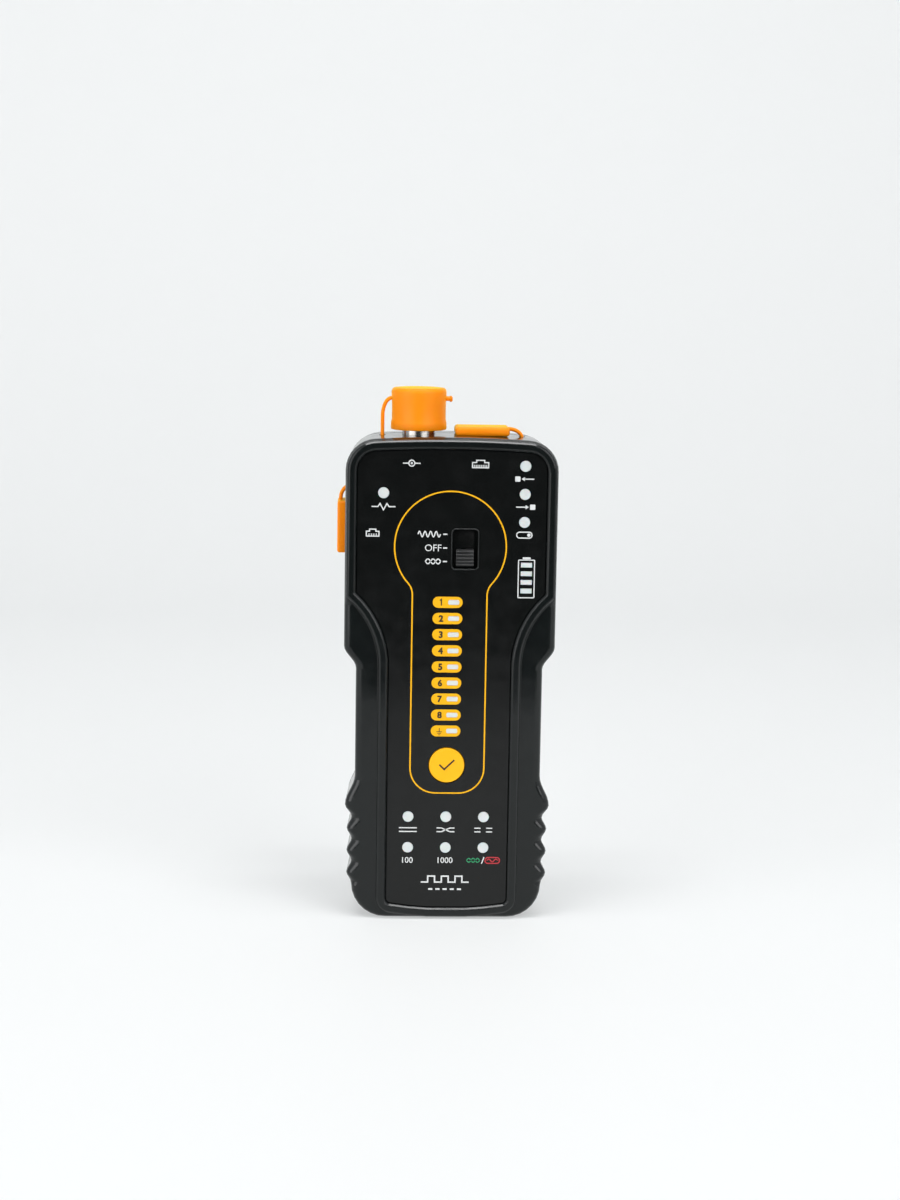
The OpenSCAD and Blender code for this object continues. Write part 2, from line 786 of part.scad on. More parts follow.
module slide_switch() {
    color([0.2, 0.2, 0.22]) difference() {
        block_y(switch_x, switch_body_z, switch_body_w, switch_body_h, switch_body_y, board_y);
        block_y(switch_x, switch_body_z, lever_w + 2 * run_gap, lever_w + switch_travel + 2 * run_gap,
            switch_body_y - 1, switch_body_y + lever_in + run_gap);
    }
}

module switch_terminals() {
    terminal_n = 4;
    leg = [1.2, 0.8];
    leg_x = (switch_body_w + leg[0]) / 2;
    leg_pitch = 2.5;
    color([0.8, 0.8, 0.78])
        for (side = [-1, 1], i = [0:terminal_n - 1])
            block_y(switch_x + side * leg_x, switch_body_z + (i - (terminal_n - 1) / 2) * leg_pitch,
                leg[0], leg[1], board_y - leg[1], board_y);
}

module set_button() {
    color([1, 0.75, 0.12]) union() {
        rod_y(print_x, set_z, set_r, panel_y, set_flange_y + 0.1);
        rod_y(print_x, set_z, set_r + set_flange_w, set_flange_y, set_back_y);
    }
}

module tact_plunger() {
    color([0.1, 0.1, 0.1])
        rod_y(print_x, set_z, plunger_r, set_back_y, tact_y + plunger_in);
}

module tact_switch() {
    color([0.7, 0.71, 0.72]) difference() {
        block_y(print_x, set_z, tact_w, tact_w, tact_y, board_y);
        rod_y(print_x, set_z, plunger_r + 0.06, tact_y - 1, tact_y + plunger_in + set_travel + run_gap);
    }
}

// ---- Board ----

module main_board() {
    color([0.05, 0.3, 0.16]) along_y(board_y, board_back) difference() {
        polygon(mirrored([[board_low_w / 2, board_z0], [board_low_w / 2, shoulder_end - board_step[0]],
            [board_top_w / 2, shoulder_end + board_step[1]], [board_top_w / 2, board_z1 - board_corner],
            [board_top_w / 2 - board_corner, board_z1]]));
        for (i = [0, 1], side = [-1, 1])
            translate([side * case_screw_x[i], case_screw_z[i]])
                circle(r = boss_r + 0.4);
        for (z = board_screw_z, side = [-1, 1])
            translate([side * board_screw_x, z])
                circle(r = board_hole_r + 0.2);
    }
}

module controller_chip() {
    color([0.08, 0.08, 0.08])
        block_y(controller_place[0], controller_place[1], controller_w, controller_w,
            board_back, board_back + chip_t);
}

module driver_chips() {
    color([0.08, 0.08, 0.08])
        for (p = driver_places)
            block_y(p[0], p[1], driver_w, driver_h, board_back, board_back + chip_t);
}

module crystal() {
    color([0.8, 0.81, 0.82])
        block_y(crystal_place[0], crystal_place[1], crystal_size[0], crystal_size[1],
            board_back, board_back + crystal_size[2]);
}

module capacitors() {
    color([0.15, 0.17, 0.3])
        for (p = capacitor_places)
            rod_y(p[0], p[1], capacitor_r, board_back, board_back + capacitor_h);
}

module board_screws() {
    color([0.75, 0.76, 0.77])
        board_boss_places()
            screw_y(board_hole_r - screw_gap, board_head_r,
                board_back - board_screw_len, board_back, board_head_t);
}

module case_screws() {
    color([0.75, 0.76, 0.77])
        case_boss_places()
            screw_y(case_hole_r - screw_gap, head_r, case_seat_y - screw_len, case_seat_y, head_t);
}

// A screw whose head seats at seat_y and whose tip points to the front
module screw_y(shank_r, screw_head_r, tip_y, seat_y, head_h) {
    difference() {
        union() {
            rod_y(0, 0, shank_r, tip_y, seat_y + 0.2);
            rod_y(0, 0, screw_head_r, seat_y, seat_y + head_h);
        }
        for (turn = [0, 90])
            rotate([0, turn, 0])
                block_y(0, 0, screw_head_r * 1.3, 0.6, seat_y + head_h - 0.7, seat_y + head_h + 1);
    }
}

// ---- BNC socket ----

module bnc_barrel() {
    color([0.82, 0.82, 0.8]) translate([bnc_x, port_y, 0]) difference() {
        union() {
            translate([0, 0, block_top])
                cylinder(r = bnc_r, h = body_h - block_top + bnc_out);
            // Bayonet lugs
            translate([-bnc_lug_x, 0, body_h + bnc_out - bnc_lug_drop])
                rotate([0, 90, 0])
                    cylinder(r = bnc_lug_r, h = 2 * bnc_lug_x);
        }
        translate([0, 0, block_top + block_base])
            cylinder(r = bnc_r - bnc_wall, h = body_h);
        translate([0, 0, block_top - 1])
            cylinder(r = bnc_core_r - 0.25, h = 4);
    }
}

module bnc_insulator() {
    color([0.93, 0.93, 0.9]) translate([bnc_x, port_y, block_top + block_base]) difference() {
        union() {
            cylinder(r = bnc_r - bnc_wall - 0.05, h = 4);
            cylinder(r = bnc_core_r, h = body_h + bnc_out - block_top - bnc_lug_drop - 0.3);
        }
        translate([0, 0, -1])
            cylinder(r = pin_r + 0.05, h = body_h);
    }
}

module bnc_contact() {
    pin_len = body_h + bnc_out - pin_drop - block_top + pin_tail;
    color([0.85, 0.68, 0.3]) translate([bnc_x, port_y, block_top - pin_tail]) difference() {
        cylinder(r = pin_r, h = pin_len);
        translate([0, 0, pin_len - 5.2])
            cylinder(r = pin_r - 0.4, h = 10);
    }
}

module bnc_block() {
    color([0.12, 0.12, 0.13]) difference() {
        translate([bnc_x - block_w / 2, board_back, block_top - block_h])
            cube([block_w, port_y + block_behind - board_back, block_h]);
        translate([bnc_x, port_y, block_top - pin_tail - 1])
            cylinder(r = pin_r + 0.1, h = pin_tail + 2);
    }
}

module bnc_washer() {
    color([0.8, 0.8, 0.8]) translate([bnc_x, port_y, washer_z]) difference() {
        cylinder(r = bnc_washer_r, h = bnc_washer_h);
        translate([0, 0, -1])
            cylinder(r = bnc_r + fit_gap, h = 3);
    }
}

module bnc_nut() {
    color([0.8, 0.8, 0.8]) translate([bnc_x, port_y, nut_z]) difference() {
        cylinder(r = bnc_nut_r, h = bnc_nut_h, $fn = 6);
        translate([0, 0, -1])
            cylinder(r = bnc_r + 0.05, h = 5);
    }
}

// ---- RJ sockets ----

module rj45_socket() {
    z0 = rj45_top - rj45_len;
    color([0.1, 0.1, 0.11]) difference() {
        translate([rj45_x - rj45_w / 2, board_back, z0])
            cube([rj45_w, rj45_d, rj45_len]);
        translate([rj45_x - rj45_hole_w / 2, port_y - rj45_hole_d / 2, rj45_top - rj45_hole_len])
            cube([rj45_hole_w, rj45_hole_d, rj45_hole_len + 1]);
        // Latch slot
        translate([rj45_x - latch_w / 2, port_y + rj45_hole_d / 2 - 1, rj45_top - rj45_hole_len])
            cube([latch_w, 2.2, rj45_hole_len + 1]);
    }
}

module rj45_contacts() {
    pitch = 1.02;
    color([0.85, 0.68, 0.3])
        for (i = [0:7])
            translate([rj45_x + (i - 3.5) * pitch - 0.2, port_y - rj45_hole_d / 2, rj45_top - rj45_hole_len])
                cube([0.4, 0.7, 5.5]);
}

module rj11_socket() {
    color([0.1, 0.1, 0.11]) difference() {
        translate([rj11_face, board_back, rj11_z - rj11_w / 2])
            cube([rj11_len, rj11_d, rj11_w]);
        translate([rj11_face - 1, port_y - rj11_hole_d / 2, rj11_z - rj11_hole_w / 2])
            cube([rj11_hole_len + 1, rj11_hole_d, rj11_hole_w]);
    }
}

module rj11_contacts() {
    pitch = 1.27;
    contact_len = 4.5;
    color([0.85, 0.68, 0.3])
        for (i = [0:3])
            translate([rj11_face + rj11_hole_len - contact_len, port_y - rj11_hole_d / 2,
                rj11_z + (i - 1.5) * pitch - 0.2])
                cube([contact_len, 0.7, 0.4]);
}

// ---- Dust caps ----

module bnc_cap() {
    tab_w = 3.6;
    tab_t = 1.3;
    tab_out = 1.7;
    color([1, 0.55, 0.06]) translate([bnc_x, port_y, bnc_cap_z]) difference() {
        union() {
            rotate_extrude()
                polygon(concat([[0, 0], [bnc_cap_r + 0.1, 0], [bnc_cap_r + 0.1, 2.4], [bnc_cap_r - 0.1, 2.8]],
                    arc(bnc_cap_r - 1.5, bnc_cap_h - 1.3, 1.3, 0, 90, 5), [[0, bnc_cap_h]]));
            // Pull tab
            translate([bnc_cap_r - 1, -tab_w / 2, bnc_stub_z - bnc_cap_z - tab_t / 2])
                cube([tab_out + 1, tab_w, tab_t]);
        }
        translate([0, 0, -1])
            cylinder(r = bnc_lug_x + 0.35, h = bnc_out + 1 - bnc_cap_gap + 0.4);
    }
}

// A strap that leaves at z, bends through a half ring of radius r and ends below the wall
module strap_bend(x0, x1, z, tail_z) {
    side = x1 > x0 ? 1 : -1;
    r = strap_t * 2.2;
    along_y(port_y - strap_w / 2, port_y + strap_w / 2) union() {
        translate([min(x0, x1 - side * r), z - strap_t / 2])
            square([abs(x1 - side * r - x0), strap_t]);
        translate([x1 - side * r, z - r]) intersection() {
            difference() {
                circle(r = r + strap_t / 2);
                circle(r = r - strap_t / 2);
            }
            translate([side > 0 ? 0 : -2 * r, 0])
                square(2 * r);
        }
        translate([x1 - strap_t / 2, tail_z])
            square([strap_t, z - r - tail_z]);
    }
}

module bnc_strap() {
    color([1, 0.55, 0.06])
        strap_bend(bnc_x - bnc_cap_r - 0.02, bnc_strap_x, bnc_stub_z, top_inner_z - 2);
}

module rj45_plug() {
    color([1, 0.55, 0.06]) union() {
        translate([rj45_x, port_y, rj45_seat + run_gap])
            linear_extrude(flange_t)
                rounded(rj45_flange_w, rj45_flange_d, flange_r);
        translate([rj45_x - rj45_hole_w / 2 + run_gap, port_y - plug_t / 2, rj45_top - plug_in])
            cube([rj45_hole_w - 2 * run_gap, plug_t, rj45_seat + run_gap - rj45_top + plug_in + overlap]);
    }
}

module rj45_strap() {
    color([1, 0.55, 0.06])
        strap_bend(rj45_x + rj45_flange_w / 2 + 0.02, rj45_strap_x,
            rj45_seat + run_gap + flange_t - strap_t / 2 - 0.2, top_inner_z - 2);
}

module rj11_plug() {
    color([1, 0.55, 0.06]) union() {
        translate([side_x0 - run_gap, port_y, rj11_z])
            rotate([0, -90, 0])
                linear_extrude(rj11_flange_t)
                    rounded(rj11_flange_w, rj11_flange_d, flange_r);
        translate([side_x0 - run_gap - overlap, port_y - plug_t / 2, rj11_z - rj11_hole_w / 2 + run_gap])
            cube([rj11_face - side_x0 + run_gap + overlap + plug_in, plug_t, rj11_hole_w - 2 * run_gap]);
    }
}

module rj11_strap() {
    z0 = rj11_z + rj11_flange_w / 2 + 0.02;
    x = side_x0 - run_gap - rj11_flange_t + strap_t / 2 + 0.35;
    r = strap_t * 2.2;
    color([1, 0.55, 0.06])
        along_y(port_y - strap_w / 2, port_y + strap_w / 2) union() {
            translate([x - strap_t / 2, z0])
                square([strap_t, rj11_strap_z - r - z0]);
            translate([x + r, rj11_strap_z - r]) intersection() {
                difference() {
                    circle(r = r + strap_t / 2);
                    circle(r = r - strap_t / 2);
                }
                translate([-2 * r, 0])
                    square(2 * r);
            }
            translate([x + r, rj11_strap_z - strap_t / 2])
                square([side_x0 + wall + 2 - x - r, strap_t]);
        }
}

// ---- Battery ----

module battery() {
    color([0.2, 0.22, 0.26])
        translate([-battery_w / 2, battery_front, battery_z])
            cube([battery_w, battery_d, battery_h]);
}

module battery_terminals() {
    color([0.8, 0.8, 0.8]) {
        translate([terminal_x, battery_mid_y, battery_top])
            cylinder(r = stud_r, h = terminal_h);
        translate([-terminal_x, battery_mid_y, battery_top]) difference() {
            cylinder(r = cup_r, h = terminal_h);
            translate([0, 0, 0.5])
                cylinder(r = cup_bore_r, h = terminal_h);
        }
    }
}

module battery_snap() {
    color([0.1, 0.1, 0.1]) translate([0, battery_mid_y, battery_top]) union() {
        translate([-snap_w / 2, -snap_d / 2, terminal_h + 0.1])
            cube([snap_w, snap_d, snap_t]);
        translate([terminal_x, 0, 0.3]) difference() {
            cylinder(r = cup_r, h = terminal_h);
            translate([0, 0, -1])
                cylinder(r = stud_r + 0.1, h = terminal_h + 0.8);
        }
        translate([-terminal_x, 0, 0.6])
            cylinder(r = cup_bore_r - 0.1, h = terminal_h);
    }
}

front_shell();
rear_shell();
face_overlay();
round_windows();
number_windows();
battery_windows();
main_board();
round_leds();
number_leds();
battery_leds();
slide_switch();
switch_terminals();
switch_lever();
switch_knob();
tact_switch();
tact_plunger();
set_button();
bnc_barrel();
bnc_block();
bnc_insulator();
bnc_contact();
bnc_washer();
bnc_nut();
rj45_socket();
rj45_contacts();
rj11_socket();
rj11_contacts();
bnc_cap();
bnc_strap();
rj45_plug();
rj45_strap();
rj11_plug();
rj11_strap();
battery();
battery_terminals();
battery_snap();
battery_door();
door_foam();
controller_chip();
driver_chips();
crystal();
capacitors();
case_screws();
board_screws();
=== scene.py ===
import json
import math
from collections import namedtuple

import bmesh
import bpy
from mathutils import Matrix, Vector
from mathutils.geometry import tessellate_polygon


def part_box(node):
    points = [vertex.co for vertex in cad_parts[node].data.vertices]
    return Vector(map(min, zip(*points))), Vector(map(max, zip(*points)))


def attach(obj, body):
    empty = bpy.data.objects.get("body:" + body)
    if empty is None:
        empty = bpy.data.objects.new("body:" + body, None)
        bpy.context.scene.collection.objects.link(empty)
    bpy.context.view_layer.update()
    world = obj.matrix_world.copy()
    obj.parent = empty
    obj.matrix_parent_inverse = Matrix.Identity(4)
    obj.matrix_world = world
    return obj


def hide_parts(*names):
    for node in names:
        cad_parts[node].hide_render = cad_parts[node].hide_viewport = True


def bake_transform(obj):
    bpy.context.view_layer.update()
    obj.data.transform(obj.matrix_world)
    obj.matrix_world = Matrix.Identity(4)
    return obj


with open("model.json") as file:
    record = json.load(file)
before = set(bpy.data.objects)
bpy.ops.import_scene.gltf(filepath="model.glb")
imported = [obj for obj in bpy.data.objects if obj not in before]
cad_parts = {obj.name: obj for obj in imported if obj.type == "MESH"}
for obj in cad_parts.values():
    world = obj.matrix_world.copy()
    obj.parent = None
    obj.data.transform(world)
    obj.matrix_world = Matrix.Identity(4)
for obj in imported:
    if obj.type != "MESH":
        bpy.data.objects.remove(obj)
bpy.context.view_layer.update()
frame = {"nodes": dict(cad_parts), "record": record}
MM = 0.001
HOUSING_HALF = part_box("rear_shell")[1].x

# ---- Camera: slightly left of the middle and above, looking down ----

CAMERA_PLACE = Vector((-0.0267, -0.6674, 0.1935))
CAMERA_TURN = -2.327
CAMERA_DIP = 8.627
CAMERA_ROLL = 0.937

camera_data = bpy.data.cameras.new("camera")
camera_data.sensor_width = 36
camera_data.lens = 69
camera_data.clip_start = 0.02
camera_data.clip_end = 20
camera = bpy.data.objects.new("camera", camera_data)
bpy.context.collection.objects.link(camera)
camera.matrix_world = (
    Matrix.Translation(CAMERA_PLACE)
    @ Matrix.Rotation(math.radians(CAMERA_TURN), 4, "Z")
    @ Matrix.Rotation(math.radians(90 - CAMERA_DIP), 4, "X")
    @ Matrix.Rotation(math.radians(CAMERA_ROLL), 4, "Z")
)
bpy.context.scene.camera = camera


# ---- Procedural finishes ----


class Finish:
    """A node material that is built up from a Principled shader."""

    def __init__(self, name, colour, rough, metallic=0.0, **sockets):
        self.material = bpy.data.materials.new(name)
        self.material.use_nodes = True
        self.nodes = self.material.node_tree.nodes
        self.links = self.material.node_tree.links
        self.shader = self.nodes["Principled BSDF"]
        self.colour = colour
        self.shader.inputs["Base Color"].default_value = (*colour, 1)
        self.shader.inputs["Roughness"].default_value = rough
        self.shader.inputs["Metallic"].default_value = metallic
        for socket, value in sockets.items():
            self.shader.inputs[socket.replace("_", " ")].default_value = value
        self.place = self.nodes.new("ShaderNodeTexCoord").outputs["Object"]
        self.normal = None

    def noise(self, scale, detail=3.0, stretch=None):
        """Noise in the object's own coordinates, per metre."""
        texture = self.nodes.new("ShaderNodeTexNoise")
        texture.inputs["Scale"].default_value = scale
        texture.inputs["Detail"].default_value = detail
        where = self.place
        if stretch is not None:
            mapping = self.nodes.new("ShaderNodeMapping")
            mapping.inputs["Scale"].default_value = stretch
            self.links.new(self.place, mapping.inputs["Vector"])
            where = mapping.outputs["Vector"]
        self.links.new(where, texture.inputs["Vector"])
        return texture.outputs["Fac"]

    def cells(self, scale):
        texture = self.nodes.new("ShaderNodeTexVoronoi")
        texture.inputs["Scale"].default_value = scale
        self.links.new(self.place, texture.inputs["Vector"])
        return texture.outputs["Distance"]

    def between(self, value, low, high):
        """Spreads a 0.3 to 0.7 noise over low to high."""
        spread = self.nodes.new("ShaderNodeMapRange")
        spread.inputs["From Min"].default_value = 0.3
        spread.inputs["From Max"].default_value = 0.7
        spread.inputs["To Min"].default_value = low
        spread.inputs["To Max"].default_value = high
        self.links.new(value, spread.inputs["Value"])
        return spread.outputs["Result"]

    def tint(self, value, other, low, high):
        """Base colour that drifts towards another colour."""
        mix = self.nodes.new("ShaderNodeMix")
        mix.data_type = "RGBA"
        mix.inputs["A"].default_value = (*self.colour, 1)
        mix.inputs["B"].default_value = (*other, 1)
        self.links.new(self.between(value, low, high), mix.inputs["Factor"])
        self.links.new(mix.outputs["Result"], self.shader.inputs["Base Color"])

    def gloss(self, value, low, high):
        self.links.new(self.between(value, low, high), self.shader.inputs["Roughness"])

    def round_edges(self, radius):
        """Shades the small edges as round ones; called before the bump."""
        bevel = self.nodes.new("ShaderNodeBevel")
        bevel.samples = 6
        bevel.inputs["Radius"].default_value = radius
        self.normal = bevel.outputs["Normal"]

    def bump(self, value, height):
        bump = self.nodes.new("ShaderNodeBump")
        bump.inputs["Distance"].default_value = height
        bump.inputs["Strength"].default_value = 1.0
        self.links.new(value, bump.inputs["Height"])
        if self.normal is not None:
            self.links.new(self.normal, bump.inputs["Normal"])
        self.links.new(bump.outputs["Normal"], self.shader.inputs["Normal"])

    def paper_white(self, colour, share):
        """To the camera, and in gloss and glass, part of the surface is an evenly lit white."""
        rays = self.nodes.new("ShaderNodeLightPath")
        seen = rays.outputs["Is Camera Ray"]
        for name in ("Is Glossy Ray", "Is Transmission Ray"):
            either = self.nodes.new("ShaderNodeMath")
            either.operation = "MAXIMUM"
            self.links.new(seen, either.inputs[0])
            self.links.new(rays.outputs[name], either.inputs[1])
            seen = either.outputs["Value"]
        part = self.nodes.new("ShaderNodeMath")
        part.operation = "MULTIPLY"
        part.inputs[1].default_value = share
        self.links.new(seen, part.inputs[0])
        glow = self.nodes.new("ShaderNodeEmission")
        glow.inputs["Color"].default_value = (*colour, 1)
        glow.inputs["Strength"].default_value = 1
        mix = self.nodes.new("ShaderNodeMixShader")
        self.links.new(part.outputs["Value"], mix.inputs[0])
        self.links.new(self.shader.outputs["BSDF"], mix.inputs[1])
        self.links.new(glow.outputs["Emission"], mix.inputs[2])
        self.links.new(mix.outputs["Shader"], self.nodes["Material Output"].inputs["Surface"])


def moulded(name, colour, rough, grain=2600, height=0.012 * MM, drift=0.25, edge=0.0, **sockets):
    """Spark-eroded moulding: fine grain, slow drift of colour and gloss."""
    finish = Finish(name, colour, rough, **sockets)
    if edge:
        finish.round_edges(edge)
    finish.tint(finish.noise(90), tuple(c * (1 + drift) for c in colour), 0, 0.6)
    finish.gloss(finish.noise(220, 4), rough - 0.05, rough + 0.06)
    finish.bump(finish.noise(grain, 2), height)
    return finish


def metal(name, colour, rough):
    """Drawn or plated metal, its fine streaks along X and Y."""
    grain, streaks = 1800, (1, 1, 8)
    finish = Finish(name, colour, rough, 1.0)
    finish.tint(finish.noise(700, 4), tuple(c * 0.8 for c in colour), 0, 0.5)
    finish.gloss(finish.noise(grain, 3, streaks), rough - 0.06, rough + 0.1)
    finish.bump(finish.noise(grain, 2, streaks), 0.004 * MM)
    return finish


def circuit_board():
    """Solder mask with the pattern of the weave and the traces under it."""
    finish = Finish("circuit_board", (0.012, 0.10, 0.045), 0.35)
    finish.tint(finish.cells(420), (0.03, 0.2, 0.09), 0, 0.8)
    finish.bump(finish.cells(420), 0.02 * MM)
    return finish


FINISHES = {
    "housing_plastic": moulded(
        "housing_plastic", (0.0040, 0.0056, 0.0056), 0.11, grain=3200, height=0.0008 * MM,
        edge=0.6 * MM, Specular_IOR_Level=0.36),
    "panel_film": moulded(
        "panel_film", (0.0024, 0.0030, 0.0029), 0.2, grain=120, height=0.0004 * MM,
        Specular_IOR_Level=0.34),
    "light_guide": moulded(
        "light_guide", (0.63, 0.66, 0.66), 0.3, height=0.004 * MM, drift=-0.05,
        Subsurface_Weight=0.25, Subsurface_Scale=0.001),
    "circuit_board": circuit_board(),
    "led_package": moulded("led_package", (0.8, 0.72, 0.42), 0.35),
    "component_plastic": moulded("component_plastic", (0.018, 0.018, 0.02), 0.5),
    "knob_plastic": moulded(
        "knob_plastic", (0.0085, 0.009, 0.0095), 0.3, height=0.001 * MM, Specular_IOR_Level=0.75),
    "button_plastic": moulded(
        "button_plastic", (0.93, 0.445, 0.007), 0.45, drift=0.03, Specular_IOR_Level=0.25),
    "plated_metal": metal("plated_metal", (0.44, 0.42, 0.40), 0.2),
    "steel": metal("steel", (0.5, 0.5, 0.51), 0.32),
    "gold_contact": metal("gold_contact", (0.83, 0.58, 0.2), 0.22),
    "white_insulator": moulded("white_insulator", (0.82, 0.82, 0.79), 0.4, drift=-0.08),
    "cap_rubber": moulded(
        "cap_rubber", (1.0, 0.275, 0.002), 0.42, grain=1500, height=0.004 * MM, drift=0.0,
        Subsurface_Weight=0.15, Subsurface_Scale=0.002, Specular_IOR_Level=0.2,
        Sheen_Weight=1.0, Sheen_Roughness=0.35, Sheen_Tint=(1.0, 0.75, 0.01, 1.0)),
    "battery_case": moulded("battery_case", (0.05, 0.06, 0.085), 0.3, height=0.002 * MM),
    "foam": moulded("foam", (0.03, 0.03, 0.032), 0.95, grain=1400, height=0.12 * MM),
}

for row in frame["record"]["subparts"]:
    node = frame["nodes"][row["node"]]
    node.data.materials.clear()
    node.data.materials.append(FINISHES[row["material_slot"]].material)

PRINT_FILM = 0.002 * MM
FINISHES["print_white"] = moulded(
    "print_white", (0.66, 0.68, 0.68), 0.5, height=PRINT_FILM, drift=-0.06)
FINISHES["print_yellow"] = moulded(
    "print_yellow", (0.84, 0.425, 0.006), 0.5, height=PRINT_FILM, drift=-0.06, Specular_IOR_Level=0.2)
FINISHES["print_dark"] = moulded("print_dark", (0.014, 0.008, 0.003), 0.5, height=PRINT_FILM)
FINISHES["print_green"] = moulded("print_green", (0.015, 0.22, 0.09), 0.5, height=PRINT_FILM)
FINISHES["print_red"] = moulded("print_red", (0.42, 0.02, 0.03), 0.5, height=PRINT_FILM)

# ---- Flat shapes in X and Z, in millimetres ----


def arc(cx, cz, rx, rz, a0, a1, n=16):
    """Points on an ellipse's arc; the angles are in degrees from +X."""
    turns = [math.radians(a0 + (a1 - a0) * i / n) for i in range(n + 1)]
    return [(cx + rx * math.cos(a), cz + rz * math.sin(a)) for a in turns]


def round_rect(cx, cz, w, h, r, n=8):
    hx, hz = w / 2 - r, h / 2 - r
    return (
        arc(cx + hx, cz + hz, r, r, 0, 90, n)
        + arc(cx - hx, cz + hz, r, r, 90, 180, n)
        + arc(cx - hx, cz - hz, r, r, 180, 270, n)
        + arc(cx + hx, cz - hz, r, r, 270, 360, n)
    )


def shifted(path, width, closed):
    """The path moved sideways by half the width, with mitred corners."""
    points = [Vector(p) for p in path]
    moved = []
    for i, p in enumerate(points):
        before = points[i - 1] if closed or i else None
        after = points[(i + 1) % len(points)] if closed or i < len(points) - 1 else None
        ways = [(p - before).normalized()] if before is not None else []
        ways += [(after - p).normalized()] if after is not None else []
        way = sum(ways, Vector((0, 0))).normalized()
        lean = max(0.4, way.dot(ways[0]))
        side = Vector((way.y, -way.x)) * (width / 2 / lean)
        moved.append(tuple(p + side))
    return moved


def line(path, width):
    """A printed line along an open path, as one loop."""
    return [shifted(path, width, False) + shifted(path, -width, False)[::-1]]


def dash(x0, x1, z, width):
    return line([(x0, z), (x1, z)], width)


def outline(path, width):
    """A printed line round a closed path, as an outer and an inner loop."""
    return [shifted(path, width, True), shifted(path, -width, True)]


def disc(cx, cz, r, n=28):
    return [arc(cx, cz, r, r, 0, 360, n)[:-1]]


def wave(cx, cz, w, h, turns, n, shift=0.0):
    """Points of a sine wave round a middle; the shift is a share of one turn."""
    return [
        (cx - w / 2 + w * i / n, cz + h / 2 * math.sin(2 * math.pi * (turns * i / n + shift)))
        for i in range(n + 1)
    ]


# ---- Building pieces ----


def finish_mesh(bm, name):
    bmesh.ops.recalc_face_normals(bm, faces=bm.faces)
    mesh = bpy.data.meshes.new(name)
    bm.to_mesh(mesh)
    bm.free()
    return mesh


def new_piece(name, mesh, body, slot, smooth=False):
    """An object in a finish."""
    for face in mesh.polygons:
        face.use_smooth = smooth
    mesh.materials.clear()
    mesh.materials.append(FINISHES[slot].material)
    obj = bpy.data.objects.new(name, mesh)
    bpy.context.collection.objects.link(obj)
    if body is not None:
        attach(obj, body)
    return obj


def smooth_by_angle(obj, degrees):
    """Rounds the shading over shallow edges and keeps the steep ones crisp."""
    bm = bmesh.new()
    bm.from_mesh(obj.data)
    for e in bm.edges:
        if len(e.link_faces) == 2 and e.calc_face_angle() > math.radians(degrees):
            e.smooth = False
    for f in bm.faces:
        f.smooth = True
    bm.to_mesh(obj.data)
    bm.free()


def rigid_piece(bm, name, body, slot, degrees=40):
    piece = new_piece(name, finish_mesh(bm, name), body, slot, True)
    smooth_by_angle(piece, degrees)
    return piece


def add_prism(bm, loops, y_front, y_back):
    """Adds a flat shape, loops with the outer one first, between two depths."""
    flat = [p for loop in loops for p in loop]
    fronts = [bm.verts.new((x * MM, y_front, z * MM)) for x, z in flat]
    backs = [bm.verts.new((x * MM, y_back, z * MM)) for x, z in flat]
    for corners in tessellate_polygon([[(x, z, 0) for x, z in loop] for loop in loops]):
        if len(set(corners)) == 3:
            bm.faces.new([fronts[i] for i in corners])
            bm.faces.new([backs[i] for i in reversed(corners)])
    start = 0
    for loop in loops:
        n = len(loop)
        for i in range(n):
            a, b = start + i, start + (i + 1) % n
            bm.faces.new((fronts[a], fronts[b], backs[b], backs[a]))
        start += n


Letters = namedtuple("Letters", "points triangles")


def lettering(text, height, cx, cz, bold=0.008):
    """A short text in Blender's built-in face, to a height, round a middle."""
    data = bpy.data.curves.new("text", "FONT")
    data.body = text
    data.align_x = "CENTER"
    data.resolution_u = 4
    data.offset = bold
    obj = bpy.data.objects.new("text", data)
    bpy.context.collection.objects.link(obj)
    bpy.context.view_layer.update()
    mesh = obj.to_mesh()
    points = [v.co.copy() for v in mesh.vertices]
    mesh.calc_loop_triangles()
    triangles = [tuple(t.vertices) for t in mesh.loop_triangles]
    obj.to_mesh_clear()
    bpy.data.objects.remove(obj)
    bpy.data.curves.remove(data)
    low_x, high_x = min(p.x for p in points), max(p.x for p in points)
    low_y, high_y = min(p.y for p in points), max(p.y for p in points)
    k = height / (high_y - low_y)
    mid_x, mid_y = (low_x + high_x) / 2, (low_y + high_y) / 2
    return Letters([(cx + (p.x - mid_x) * k, cz + (p.y - mid_y) * k) for p in points], triangles)


def add_letters(bm, letters, y_front, y_back):
    """Adds letters between two depths: both faces, and walls along the outlines alone."""
    fronts = [bm.verts.new((x * MM, y_front, z * MM)) for x, z in letters.points]
    backs = [bm.verts.new((x * MM, y_back, z * MM)) for x, z in letters.points]
    triangles = {frozenset(t): t for t in letters.triangles}
    sides = {}
    for corners in triangles.values():
        bm.faces.new([fronts[i] for i in corners])
        bm.faces.new([backs[i] for i in reversed(corners)])
        for i in range(3):
            a, b = corners[i], corners[(i + 1) % 3]
            sides.setdefault(frozenset((a, b)), []).append((a, b))
    for (a, b), *others in sides.values():
        if not others:
            bm.faces.new((fronts[b], fronts[a], backs[a], backs[b]))


def print_piece(name, shapes, slot, body, face):
    """All the printed shapes of one colour, a thin film on the face at that depth."""
    bm = bmesh.new()
    for shape in shapes:
        add = add_letters if isinstance(shape, Letters) else add_prism
        add(bm, shape, face - PRINT_LIFT, face + PRINT_SINK)
    return new_piece(name, finish_mesh(bm, name), body, slot)


# ---- Printed artwork on the panel, in millimetres ----

overlay_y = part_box("face_overlay")[0].y
button_low, button_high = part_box("set_button")
rows_low, rows_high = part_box("number_windows")
levels_low, levels_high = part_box("battery_windows")
lights_low, lights_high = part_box("round_windows")
knob_low, knob_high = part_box("switch_knob")

